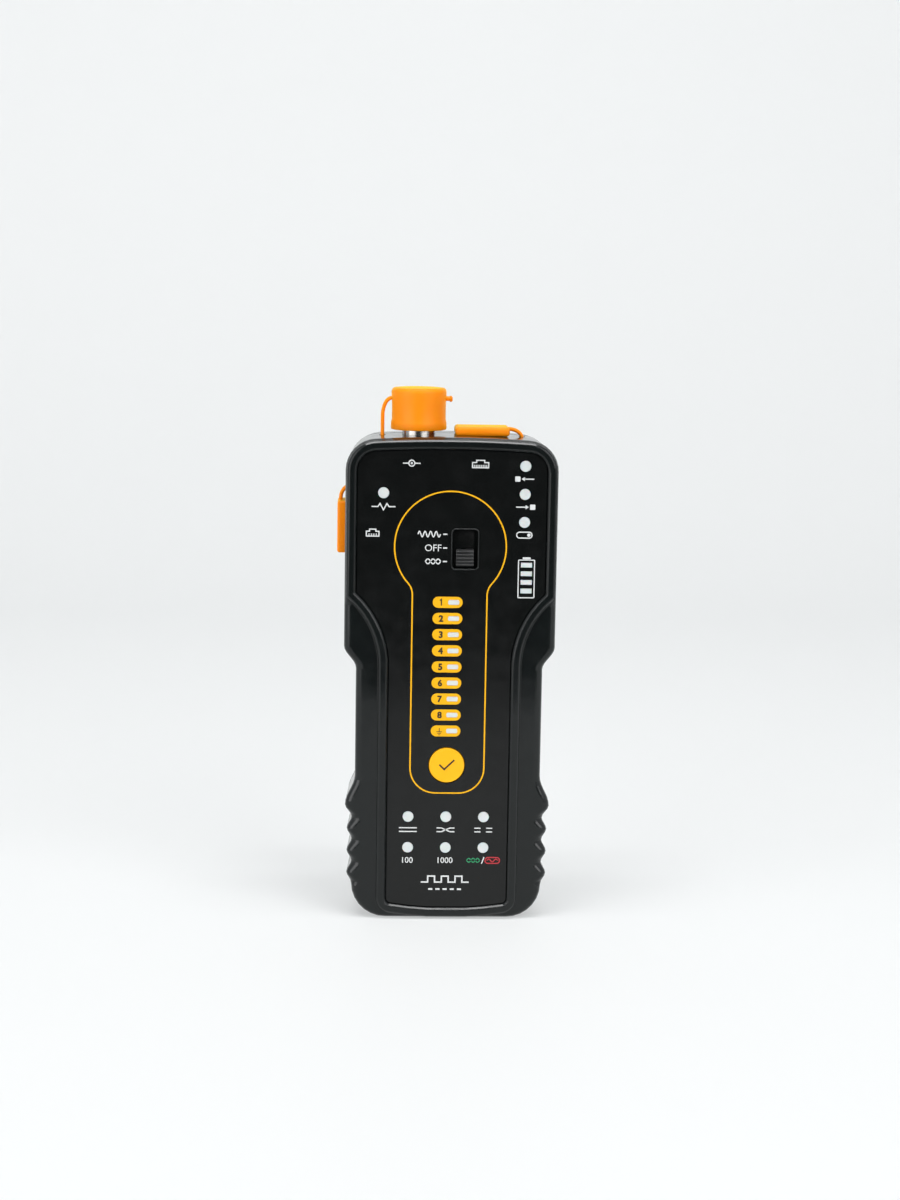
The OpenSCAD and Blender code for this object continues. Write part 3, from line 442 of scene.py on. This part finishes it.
PRINT_LIFT = 0.02 * MM
PRINT_SINK = 0.01 * MM
LINE_W = 0.41
MARK_W = 0.32
LETTER_H = 1.95
SPEED_H = 1.75
DIGIT_H = 2.0

PRINT_X = (button_low.x + button_high.x) / 2 / MM
SET_Z = (button_low.z + button_high.z) / 2 / MM

# Rows of numbered windows: a window's clear part is inside its collar
ROW_N = 9
GUIDE_COLLAR = 0.3
WINDOW_HALF = 0.675
ROW_Z0 = rows_low.z / MM + GUIDE_COLLAR + WINDOW_HALF
ROW_Z1 = rows_high.z / MM - GUIDE_COLLAR - WINDOW_HALF
ROW_PITCH = (ROW_Z1 - ROW_Z0) / (ROW_N - 1)
WINDOW_X = (rows_low.x + rows_high.x) / 2 / MM
PILL_X = WINDOW_X - 1.75
PILL_W, PILL_H = 8.6, 3.25
BAR_W, BAR_H, BAR_R = 3.2, 1.45, 0.5
DIGIT_X = PILL_X - 1.85

# The yellow line: a ring round the switch and a stem round the rows
RING_R = 16.0
RING_X = PRINT_X + 0.1
RING_Z = 109.8
NECK_X = 10.73
NECK_FILLET = 5.0
FOOT_Z = 37.7
FOOT_R = 7.4

# Signal lights: three at the right, one at the left, two rows of three at the foot
LIGHT_HALF = 2.15
LIGHT_X = lights_high.x / MM - LIGHT_HALF
LIGHT_Z = lights_high.z / MM - LIGHT_HALF
LIGHT_PITCH = 8.04
STATUS_X = lights_low.x / MM + LIGHT_HALF
LOW_Z = lights_low.z / MM + LIGHT_HALF
LOW_PITCH = 9.2
LOW_X = 11.0
LABEL_DROP = 3.65

# Marks over the ports and beside the switch
TOP_Z = 133.7
COAX_X = PRINT_X - 11.3
JACK8_X = PRINT_X + 8.3
JACK4_X, JACK4_Z = PRINT_X - 22.2, 113.7
PULSE_Z = 121.2
DASH_X = PRINT_X - 1.45
SWITCH_ROWS = (113.45, 109.5, 105.6)
TRAIN_Z = 11.9


def keyhole():
    """Path of the yellow line: a ring round the switch that runs into a stem round the rows."""
    cx = NECK_X + NECK_FILLET
    rise = math.sqrt((RING_R + NECK_FILLET) ** 2 - cx * cx)
    meet = math.degrees(math.atan2(-rise, cx))
    neck_z = RING_Z - rise
    foot_x, foot_z = NECK_X - FOOT_R, FOOT_Z + FOOT_R
    ring = arc(RING_X, RING_Z, RING_R, RING_R, meet, 180 - meet, 72)
    left_neck = arc(RING_X - cx, neck_z, NECK_FILLET, NECK_FILLET, -meet, 0, 8)
    left_foot = arc(RING_X - foot_x, foot_z, FOOT_R, FOOT_R, 180, 270, 12)
    right_foot = arc(RING_X + foot_x, foot_z, FOOT_R, FOOT_R, 270, 360, 12)
    right_neck = arc(RING_X + cx, neck_z, NECK_FILLET, NECK_FILLET, 180, 180 + meet, 8)
    return ring[1:-1] + left_neck + left_foot + right_foot + right_neck


def coax_mark(cx, cz):
    """A round socket: a ring, its pin and a lead to each side."""
    shapes = [outline(disc(cx, cz, 0.85)[0], MARK_W), disc(cx, cz, 0.32)]
    return shapes + [dash(cx + s * 1.0, cx + s * 2.5, cz, MARK_W) for s in (-1, 1)]


def socket_mark(cx, cz, w, h, pins):
    """A generic jack: an outline with a stepped latch and a row of contacts."""
    step = w / 4
    path = [
        (cx - w / 2, cz - h / 2), (cx + w / 2, cz - h / 2), (cx + w / 2, cz + h / 5),
        (cx + step, cz + h / 5), (cx + step, cz + h / 2), (cx - step, cz + h / 2),
        (cx - step, cz + h / 5), (cx - w / 2, cz + h / 5),
    ]
    shapes = [outline(path, MARK_W)]
    for i in range(pins):
        x = cx + (i - (pins - 1) / 2) * w / (pins + 1.2)
        shapes.append(line([(x, cz - h / 2 + 0.1), (x, cz - h / 2 + h * 0.38)], MARK_W * 0.8))
    return shapes


def pulse_mark(cx, cz):
    path = [(-3.4, 0), (-1.6, 0), (-1.0, 0.9), (0, -0.9), (1.0, 0.9), (1.6, 0), (3.4, 0)]
    return [line([(cx + x, cz + z) for x, z in path], MARK_W)]


def arrow_mark(cx, cz, w, side):
    """A short line with an arrow head on one end."""
    tip = cx + side * w / 2
    head = [(tip, cz), (tip - side * 0.9, cz + 0.6), (tip - side * 0.9, cz - 0.6)]
    return [dash(cx - side * w / 2, tip - side * 0.8, cz, MARK_W), [head]]


def end_mark(cx, cz, side):
    """A box at one end of a cable, and an arrow to or from it."""
    return [[round_rect(cx + side * 2.2, cz, 1.5, 1.5, 0.2, 2)]] + arrow_mark(cx - side * 0.7, cz, 3.6, side)


def toggle_mark(cx, cz):
    return [outline(round_rect(cx, cz, 4.4, 1.7, 0.84), MARK_W), disc(cx + 1.3, cz, 0.5)]


def twisted_mark(cx, cz, w, h):
    """A twisted pair: two waves, half a turn apart."""
    return [line(wave(cx, cz, w, h, 1.5, 36, shift), MARK_W) for shift in (0, 0.5)]


def pairs_marks(cz):
    """Two wires in each of three marks: straight, crossed and open."""
    half = 2.6
    open_x = PRINT_X + LOW_X
    shapes = []
    for dz in (-0.55, 0.55):
        z = cz + dz
        shapes.append(dash(PRINT_X - LOW_X - half, PRINT_X - LOW_X + half, z, MARK_W))
        shapes.append(line([
            (PRINT_X - half, z), (PRINT_X - 1.2, z), (PRINT_X + 1.2, cz - dz), (PRINT_X + half, cz - dz),
        ], MARK_W))
        for side in (-1, 1):
            shapes.append(dash(open_x + side * half, open_x + side * 0.8, z, MARK_W))
    return shapes


def pulse_train(cz):
    """A pulse train over a row of dashes."""
    path = []
    for i in range(7):
        x = PRINT_X - 7 + i * 2
        z = cz - 0.9 + 1.8 * (i % 2)
        path += [(x, z), (x + 2, z)]
    shapes = [line(path, 0.42)]
    for i in range(5):
        x = PRINT_X + (i - 2) * 2.1
        shapes.append(dash(x - 0.6, x + 0.6, cz - 3.0, 0.5))
    return shapes


def gauge_frame():
    """Frame and nub of the battery gauge round the level windows."""
    cx = (levels_low.x + levels_high.x) / 2 / MM
    cz = (levels_low.z + levels_high.z) / 2 / MM - 0.25
    return [
        outline(round_rect(cx, cz, 4.6, 10.9, 0.15, 1), 0.3),
        [round_rect(cx, cz + 5.85, 2.3, 0.8, 0.1, 1)],
    ]


def earth_mark(cx, cz):
    shapes = []
    for k, w in enumerate((1.7, 1.1, 0.5)):
        shapes.append(dash(cx - w / 2, cx + w / 2, cz - 0.25 - k * 0.45, 0.2))
    shapes.append(line([(cx, cz - 0.2), (cx, cz + 0.85)], 0.22))
    return shapes


def one_mark(cz):
    """The number 1, with its flag at the left."""
    stem_x = PILL_X - 1.8
    return [line([(PILL_X - 2.25, cz + 0.5), (stem_x, cz + 0.85), (stem_x, cz - 0.95)], 0.34)]


pairs_z = LOW_Z + LOW_PITCH - LABEL_DROP - 0.25
speed_z = LOW_Z - LABEL_DROP - 0.15
cable_x = PRINT_X + LOW_X

white = coax_mark(COAX_X, TOP_Z)
white += socket_mark(JACK8_X, TOP_Z, 4.6, 2.1, 8)
white += socket_mark(JACK4_X, JACK4_Z, 3.6, 2.0, 4)
white += pulse_mark(STATUS_X, PULSE_Z)
white += end_mark(LIGHT_X, LIGHT_Z - LABEL_DROP, -1)
white += end_mark(LIGHT_X, LIGHT_Z - LIGHT_PITCH - LABEL_DROP, 1)
white += toggle_mark(LIGHT_X, LIGHT_Z - 2 * LIGHT_PITCH - LABEL_DROP)
white += [dash(DASH_X - 0.6, DASH_X + 0.6, z, 0.36) for z in SWITCH_ROWS]
white.append(line(wave(DASH_X - 4.6, SWITCH_ROWS[0], 6.4, 1.6, 4, 64), MARK_W))
white.append(lettering("OFF", LETTER_H, DASH_X - 3.4, SWITCH_ROWS[1], 0.0))
white += twisted_mark(DASH_X - 3.4, SWITCH_ROWS[2], 4.4, 1.4)
white += pairs_marks(pairs_z)
white.append(lettering("100", SPEED_H, PRINT_X - LOW_X, speed_z))
white.append(lettering("1000", SPEED_H, PRINT_X, speed_z))
white.append(line([(cable_x - 0.35, speed_z - 1.0), (cable_x + 0.35, speed_z + 1.0)], MARK_W))
white += pulse_train(TRAIN_Z)
white += gauge_frame()

yellow = [outline(keyhole(), LINE_W)]
dark = []
for i in range(ROW_N):
    z = ROW_Z1 - i * ROW_PITCH
    pill = round_rect(PILL_X, z, PILL_W, PILL_H, PILL_H / 2 - 0.02)
    yellow.append([pill, round_rect(WINDOW_X, z, BAR_W, BAR_H, BAR_R)[::-1]])
    if i == 0:
        dark += one_mark(z)
    elif i < ROW_N - 1:
        dark.append(lettering(str(i + 1), DIGIT_H, DIGIT_X, z, 0.045))
    else:
        dark += earth_mark(DIGIT_X, z)

# Plain and shielded pair, each in its colour
green = twisted_mark(cable_x - 2.8, speed_z, 3.8, 1.2)
red = [outline(round_rect(cable_x + 2.8, speed_z, 4.2, 1.75, 0.8), MARK_W)]
red += [line(wave(cable_x + 2.8, speed_z, 3.2, 0.8, 1.5, 36), MARK_W)]
tick = [(PRINT_X - 2.1, SET_Z + 0.1), (PRINT_X - 0.7, SET_Z - 1.3), (PRINT_X + 2.2, SET_Z + 1.5)]

print_piece("panel_print_white", white, "print_white", "housing", overlay_y)
print_piece("panel_print_yellow", yellow, "print_yellow", "housing", overlay_y)
print_piece("panel_print_green", green, "print_green", "housing", overlay_y)
print_piece("panel_print_red", red, "print_red", "housing", overlay_y)
print_piece("panel_numerals", dark, "print_dark", "housing", overlay_y - PRINT_LIFT)
print_piece("button_mark", [line(tick, 0.5)], "print_dark", "button", button_low.y)

# ---- Slide switch: rim, ribbed thumb piece and skirt ----


def soft_block(bm, low, high, edge, segments=4):
    """A block with all its edges rounded."""
    made = bmesh.ops.create_cube(bm, size=1)["verts"]
    for v in made:
        v.co = Vector([(low[k] + high[k]) / 2 + v.co[k] * (high[k] - low[k]) for k in range(3)])
    edges = {e for v in made for e in v.link_edges}
    bmesh.ops.bevel(bm, geom=list(edges), offset=edge, segments=segments, profile=0.5, affect="EDGES")


def bead(name, path, wide, high, face, body, slot):
    """A bead with a round crest along a closed path, proud of the face at that depth."""
    bm = bmesh.new()
    section = [(-math.cos(math.radians(a)), math.sin(math.radians(a))) for a in range(0, 181, 20)]
    rings = []
    for across, up in section:
        loop = shifted(path, wide * across, True)
        rings.append([bm.verts.new((x * MM, face - up * high * MM, z * MM)) for x, z in loop])
    n = len(path)
    for a, b in zip(rings, rings[1:] + rings[:1]):
        for i in range(n):
            j = (i + 1) % n
            bm.faces.new((a[i], a[j], b[j], b[i]))
    rigid_piece(bm, name, body, slot)


joints = {joint["name"]: joint for joint in frame["record"]["behaviour"]["joints"]}
KNOB_TRAVEL = joints["knob_slide"]["range_m"][1]
SKIRT_MARGIN = 0.3 * MM
SKIRT_T = 0.7 * MM
RIM_GAP, RIM_R, RIM_WIDE, RIM_HIGH = 0.4, 1.2, 0.5, 0.45
RIM_SINK = 0.15 * MM
slot_w = knob_high.x - knob_low.x - 2 * MM
slot_h = knob_high.z - knob_low.z - KNOB_TRAVEL - 2 * SKIRT_MARGIN
slot_x = (knob_high.x + knob_low.x) / 2
slot_z = knob_low.z + slot_h / 2 + KNOB_TRAVEL + SKIRT_MARGIN
rim_path = round_rect(slot_x / MM, slot_z / MM, slot_w / MM + RIM_GAP, slot_h / MM + RIM_GAP, RIM_R)
bead("switch_rim", rim_path, RIM_WIDE, RIM_HIGH, overlay_y - RIM_SINK, "housing", "housing_plastic")

KNOB_W, KNOB_H = 5.1 * MM, 4.8 * MM
RIB_N = 5
RIB_HALF = 0.19 * MM
RIB_PITCH = KNOB_H / RIB_N
RIB_OUT = 0.7 * MM
RIB_IN = 0.9 * MM
knob_front = knob_low.y
knob_z = slot_z - slot_h / 2 + 0.65 * MM
bm = bmesh.new()
soft_block(
    bm,
    (slot_x - KNOB_W / 2, knob_front + RIB_OUT, knob_z),
    (slot_x + KNOB_W / 2, knob_high.y - 0.3 * MM, knob_z + KNOB_H),
    0.15 * MM,
)
for i in range(RIB_N):
    rib_z = knob_z + (i + 0.5) * RIB_PITCH
    soft_block(
        bm,
        (slot_x - KNOB_W / 2, knob_front, rib_z - RIB_HALF),
        (slot_x + KNOB_W / 2, knob_front + RIB_IN, rib_z + RIB_HALF),
        0.16 * MM,
    )
knob = rigid_piece(bm, "switch_thumb", "knob", "knob_plastic")
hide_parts("switch_knob")
bm = bmesh.new()
soft_block(bm, (knob_low.x, knob_high.y - SKIRT_T, knob_low.z), knob_high, 0.1 * MM, 2)
rigid_piece(bm, "switch_skirt", "knob", "panel_film")

# ---- Rear half of the case, its screw posts trimmed flush with the tapered sides ----

# The straight stretch of the sides, between the shoulder and the upper posts
STRETCH_Z0, STRETCH_Z1 = 0.100, 0.124
SKIN = 0.01 * MM
bm = bmesh.new()
bm.from_mesh(frame["nodes"]["rear_shell"].data)
bmesh.ops.remove_doubles(bm, verts=bm.verts, dist=0.001 * MM)
side_planes = {}
for face in bm.faces:
    middle = face.calc_center_median()
    outward = abs(face.normal.z) < 0.01 and face.normal.x * middle.x > 0.2 * abs(middle.x)
    if outward and STRETCH_Z0 < middle.z < STRETCH_Z1 and abs(middle.x) > 0.85 * HOUSING_HALF:
        key = (round(face.normal.x, 2), round(face.normal.y, 2))
        side_planes.setdefault(key, (middle, face.normal.copy()))
for middle, way in side_planes.values():
    cut = bmesh.ops.bisect_plane(
        bm, geom=bm.verts[:] + bm.edges[:] + bm.faces[:], dist=0.0005 * MM,
        plane_co=middle + way * SKIN, plane_no=way, clear_outer=True)
    rims = [e for e in cut["geom_cut"] if isinstance(e, bmesh.types.BMEdge) and e.is_boundary]
    bmesh.ops.holes_fill(bm, edges=rims, sides=0)
rear_case = rigid_piece(bm, "rear_case", "housing", "housing_plastic", 30)
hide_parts("rear_shell")

# ---- Silicone dust caps and their straps ----


def lathe(bm, profile, place, n=64):
    """Turns a closed profile of radius and height, in millimetres, about +Z at a place."""
    rings = []
    for r, z in profile:
        if r == 0:
            rings.append([bm.verts.new(place + Vector((0, 0, z * MM)))])
            continue
        rings.append([
            bm.verts.new(place + Vector((r * MM * math.cos(a), r * MM * math.sin(a), z * MM)))
            for a in (2 * math.pi * i / n for i in range(n))
        ])
    for a, b in zip(rings, rings[1:]):
        for i in range(n):
            j = (i + 1) % n
            face = [a[i % len(a)], a[j % len(a)], b[j % len(b)], b[i % len(b)]]
            face = [v for k, v in enumerate(face) if v not in face[:k]]
            bm.faces.new(face)


STRAP_T = 1.1 * MM
STRAP_W = 2.6 * MM
barrel_low, barrel_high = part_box("bnc_barrel")
barrel_x = (barrel_low.x + barrel_high.x) / 2
port_y = (barrel_low.y + barrel_high.y) / 2


def strap_mesh(name, path):
    """A flat strap with round edges along a path in X and Z."""
    bm = bmesh.new()
    n = 16
    section = [
        (STRAP_T / 2 * math.copysign(abs(math.cos(a)) ** 0.6, math.cos(a)),
         STRAP_W / 2 * math.copysign(abs(math.sin(a)) ** 0.6, math.sin(a)))
        for a in (2 * math.pi * (i + 0.5) / n for i in range(n))
    ]
    rings = []
    for i, p in enumerate(path):
        way = (path[min(i + 1, len(path) - 1)] - path[max(i - 1, 0)]).normalized()
        side = Vector((way.z, 0, -way.x))
        rings.append([bm.verts.new(p + side * s + Vector((0, w, 0))) for s, w in section])
    for a, b in zip(rings, rings[1:]):
        for i in range(n):
            bm.faces.new((a[i], a[(i + 1) % n], b[(i + 1) % n], b[i]))
    bm.faces.new(rings[0][::-1])
    bm.faces.new(rings[-1])
    return finish_mesh(bm, name)


def upright(x, z0, z1, n):
    """The first n points of a straight rise, without its end."""
    return [Vector((x, port_y, z0 + (z1 - z0) * i / n)) for i in range(n)]


def quarter_bend(x, z, reach, rise):
    """From upright to level along a quarter ellipse."""
    turns = [math.radians(90 * i / 14) for i in range(15)]
    return [Vector((x + reach * (1 - math.cos(a)), port_y, z + rise * math.sin(a))) for a in turns]


def strap_path(tail_x, tail_z, end_x, end_z, rise):
    """From a fixed tail up to the bend and over it, a little way into the cap."""
    side = 1 if end_x > tail_x else -1
    into_cap = side * 0.8 * MM
    return (
        upright(tail_x, tail_z, end_z - rise, 10)
        + quarter_bend(tail_x, end_z - rise, end_x - tail_x, rise)
        + [Vector((end_x + into_cap, port_y, end_z))]
    )


# The BNC cap: a turned cup with a soft waist, and a stub that ends in a bead
cap_low, cap_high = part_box("bnc_cap")
cap_h = (cap_high.z - cap_low.z) / MM
cap_r = (barrel_x - cap_low.x) / MM
BORE_R = 5.85
STUB_HALF_W = 1.8 * MM
STUB_HALF_H = 0.62 * MM
BEAD_LONG = 0.95 * MM
cap_profile = (
    [(0, cap_h - 2.6), (BORE_R - 0.6, cap_h - 2.6), (BORE_R, cap_h - 3.1)]
    + [(BORE_R, 0.5), (BORE_R + 0.4, 0.05)]
    + [(cap_r - 0.5, 0.0), (cap_r - 0.12, 0.12), (cap_r, 0.5), (cap_r - 0.03, 1.9)]
    + [(cap_r - 0.12, 2.4), (cap_r - 0.26, 2.9), (cap_r - 0.28, cap_h / 2)]
    + [(cap_r - 0.22, cap_h - 3.4), (cap_r - 0.1, cap_h - 1.6), (cap_r - 0.14, cap_h - 1.0)]
    + [(cap_r - 0.36, cap_h - 0.5), (cap_r - 0.8, cap_h - 0.18), (cap_r - 1.6, cap_h - 0.08)]
    + [(cap_r - 3.5, cap_h - 0.04), (0, cap_h)]
)
stub_z = cap_high.z - 3.2 * MM
bm = bmesh.new()
lathe(bm, cap_profile, Vector((barrel_x, port_y, cap_low.z)))
soft_block(
    bm,
    (barrel_x + (cap_r - 1.2) * MM, port_y - STUB_HALF_W, stub_z - STUB_HALF_H),
    (cap_high.x - 0.05 * MM, port_y + STUB_HALF_W, stub_z + STUB_HALF_H),
    0.5 * MM,
)
soft_block(
    bm,
    (cap_high.x - BEAD_LONG, port_y - STUB_HALF_W, stub_z - 0.85 * MM),
    (cap_high.x, port_y + STUB_HALF_W, stub_z + 0.75 * MM),
    0.42 * MM,
)
cap = rigid_piece(bm, "bnc_dust_cap", "bnc_cover", "cap_rubber")
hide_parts("bnc_cap")

strap_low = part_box("bnc_strap")[0]
tail_x = strap_low.x + STRAP_T / 2
cap_path = strap_path(tail_x, strap_low.z, cap_low.x + 0.2 * MM, stub_z, 5.2 * MM)
bnc_tie = new_piece("bnc_tie", strap_mesh("bnc_tie", cap_path), None, "cap_rubber", True)
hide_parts("bnc_strap")
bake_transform(bnc_tie)

# The RJ45 plug: a slab that lies on the top, and its nose in the socket
plug_low, plug_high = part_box("rj45_plug")
SLAB_T = 2.6 * MM
PLUG_DIP = 0.3 * MM
NOSE_SINK = 0.8 * MM
nose_x = (plug_low.x + plug_high.x) / 2
slab_z = plug_high.z - SLAB_T - PLUG_DIP
bm = bmesh.new()
soft_block(bm, (plug_low.x, plug_low.y, slab_z), plug_high - Vector((0, 0, PLUG_DIP)), 0.9 * MM)
soft_block(
    bm,
    (nose_x - 5.7 * MM, port_y - 2.3 * MM, plug_low.z),
    (nose_x + 5.7 * MM, port_y + 3.5 * MM, slab_z + NOSE_SINK),
    0.4 * MM,
)
plug = rigid_piece(bm, "rj45_dust_plug", "rj45_cover", "cap_rubber")
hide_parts("rj45_plug")

tie_low, tie_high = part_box("rj45_strap")
tail_x = tie_high.x - STRAP_T / 2
tie_z = tie_high.z - STRAP_T / 2 - PLUG_DIP
plug_path = strap_path(tail_x, tie_low.z, plug_high.x - 0.2 * MM, tie_z, 2.7 * MM)
rj45_tie = new_piece("rj45_tie", strap_mesh("rj45_tie", plug_path), None, "cap_rubber", True)
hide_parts("rj45_strap")
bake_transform(rj45_tie)

# The RJ11 plug: a slab on the left side, and its strap up and over into the case
phone_low, phone_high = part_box("rj11_plug")
PHONE_SLAB_T = 2.8 * MM
nose_z = (phone_low.z + phone_high.z) / 2
bm = bmesh.new()
soft_block(bm, phone_low, (phone_low.x + PHONE_SLAB_T, phone_high.y, phone_high.z), 0.7 * MM)
soft_block(
    bm,
    (phone_low.x + 1.2 * MM, port_y - 2.0 * MM, nose_z - 4.6 * MM),
    (phone_high.x, port_y + 2.6 * MM, nose_z + 4.6 * MM),
    0.4 * MM,
)
phone = rigid_piece(bm, "rj11_dust_plug", "rj11_cover", "cap_rubber")
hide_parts("rj11_plug")

lace_low, lace_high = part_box("rj11_strap")
LACE_RISE = 3.6 * MM
LACE_REACH = LACE_RISE * 0.85
lace_x = lace_low.x + STRAP_T / 2
lace_z = lace_high.z - STRAP_T / 2
level_x = lace_x + LACE_REACH
lace_path = upright(lace_x, phone_high.z - 0.6 * MM, lace_z - LACE_RISE, 5)
lace_path += quarter_bend(lace_x, lace_z - LACE_RISE, LACE_REACH, LACE_RISE)
lace_path += [Vector((level_x + (lace_high.x - level_x) * i / 4, port_y, lace_z)) for i in range(1, 5)]
rj11_tie = new_piece("rj11_tie", strap_mesh("rj11_tie", lace_path), None, "cap_rubber", True)
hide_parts("rj11_strap")
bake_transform(rj11_tie)

# ---- Foam pad on the battery door ----

pad_low, pad_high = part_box("door_foam")
bm = bmesh.new()
soft_block(bm, pad_low, pad_high, 0.15 * MM, 3)
pad = rigid_piece(bm, "door_pad", "door", "foam")
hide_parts("door_foam")

# ---- Floor, wall and light ----

# The floor ends in front where the panel's mirror image of it should fade out
FLOOR_FRONT_Y = -0.35
WALL_Y = 0.9
WALL_TOP = 2.2
SWEEP_R = 0.35
STAGE_HALF = 3.0

floor_finish = Finish("studio_floor", (0.83, 0.845, 0.85), 0.55, Specular_IOR_Level=0.25)
floor_finish.tint(floor_finish.noise(3), (0.85, 0.86, 0.865), 0, 0.5)
floor_finish.gloss(floor_finish.noise(6), 0.5, 0.6)
floor_finish.paper_white((0.91, 0.93, 0.93), 0.45)

rows = [(FLOOR_FRONT_Y, 0)]
for i in range(13):
    a = math.radians(90 * i / 12)
    rows.append((WALL_Y - SWEEP_R + SWEEP_R * math.sin(a), SWEEP_R - SWEEP_R * math.cos(a)))
rows.append((WALL_Y, WALL_TOP))
sweep_mesh = bpy.data.meshes.new("studio_sweep")
sweep_mesh.from_pydata(
    [(side * STAGE_HALF, y, z) for y, z in rows for side in (-1, 1)], [],
    [(2 * i, 2 * i + 1, 2 * i + 3, 2 * i + 2) for i in range(len(rows) - 1)])
for face in sweep_mesh.polygons:
    face.use_smooth = True
sweep_mesh.materials.append(floor_finish.material)
sweep = bpy.data.objects.new("studio_sweep", sweep_mesh)
bpy.context.collection.objects.link(sweep)

WORLD_LIGHT = 0.1
WORLD_SEEN = 0.8
world = bpy.data.worlds.new("studio")
world.use_nodes = True
background = world.node_tree.nodes["Background"]
background.inputs["Color"].default_value = (0.95, 0.97, 1, 1)


def world_node(kind, operation=None, **values):
    """A node of the world; _0 is its first input, and the others go by their names."""
    node = world.node_tree.nodes.new(kind)
    if operation:
        node.operation = operation
    for name, value in values.items():
        socket = node.inputs[int(name[1:])] if name[0] == "_" else node.inputs[name.replace("_", " ")]
        if hasattr(value, "is_output"):
            world.node_tree.links.new(value, socket)
        else:
            socket.default_value = value
    return node


# The studio looks pale all round, but gloss finds it dark in front, where the room behind the camera is
rays = world_node("ShaderNodeLightPath")
ways = world_node("ShaderNodeSeparateXYZ", _0=world_node("ShaderNodeTexCoord").outputs["Generated"])
lit = world_node("ShaderNodeMapRange", From_Min=-0.9, From_Max=-0.6, Value=ways.outputs["Y"])
gloss = world_node("ShaderNodeMath", "MULTIPLY", _0=rays.outputs["Is Glossy Ray"], _1=lit.outputs["Result"])
seen = world_node("ShaderNodeMath", "MAXIMUM", _0=rays.outputs["Is Camera Ray"], _1=gloss.outputs["Value"])
seen = world_node(
    "ShaderNodeMath", "MAXIMUM", _0=seen.outputs["Value"], _1=rays.outputs["Is Transmission Ray"])
level = world_node(
    "ShaderNodeMath", "MULTIPLY_ADD", _0=seen.outputs["Value"], _1=WORLD_SEEN, _2=WORLD_LIGHT)
world.node_tree.links.new(level.outputs["Value"], background.inputs["Strength"])
bpy.context.scene.world = world
bpy.context.scene.view_settings.view_transform = "Standard"


def softbox(name, place, target, size, power):
    """A rectangular lamp at a place, turned to a target; its power is in watts."""
    data = bpy.data.lights.new(name, "AREA")
    data.shape = "RECTANGLE"
    data.size, data.size_y = size
    data.energy = power
    light = bpy.data.objects.new(name, data)
    bpy.context.collection.objects.link(light)
    light.location = place
    direction = Vector(target) - Vector(place)
    light.rotation_euler = direction.to_track_quat("-Z", "Y").to_euler()


softbox("key", (0.8, -1.0, 0.6), (0, 0, 0.08), (1.0, 1.0), 11)
softbox("fill", (-1.0, -0.9, 0.45), (0, 0, 0.08), (1.2, 1.2), 13)
softbox("top", (0.0, 0.05, 1.3), (0, 0.05, 0), (1.4, 0.8), 0.6)
# Narrow lamps, each where the ridge's bevel mirrors it: along the top, and round the foot
softbox("top_line", (0.0, -0.10, 1.15), (0, 0, 0.1), (0.9, 0.12), 4.6)
softbox("foot_line", (0.0, -0.34, 1.15), (0, 0, 0.1), (0.9, 0.1), 4)
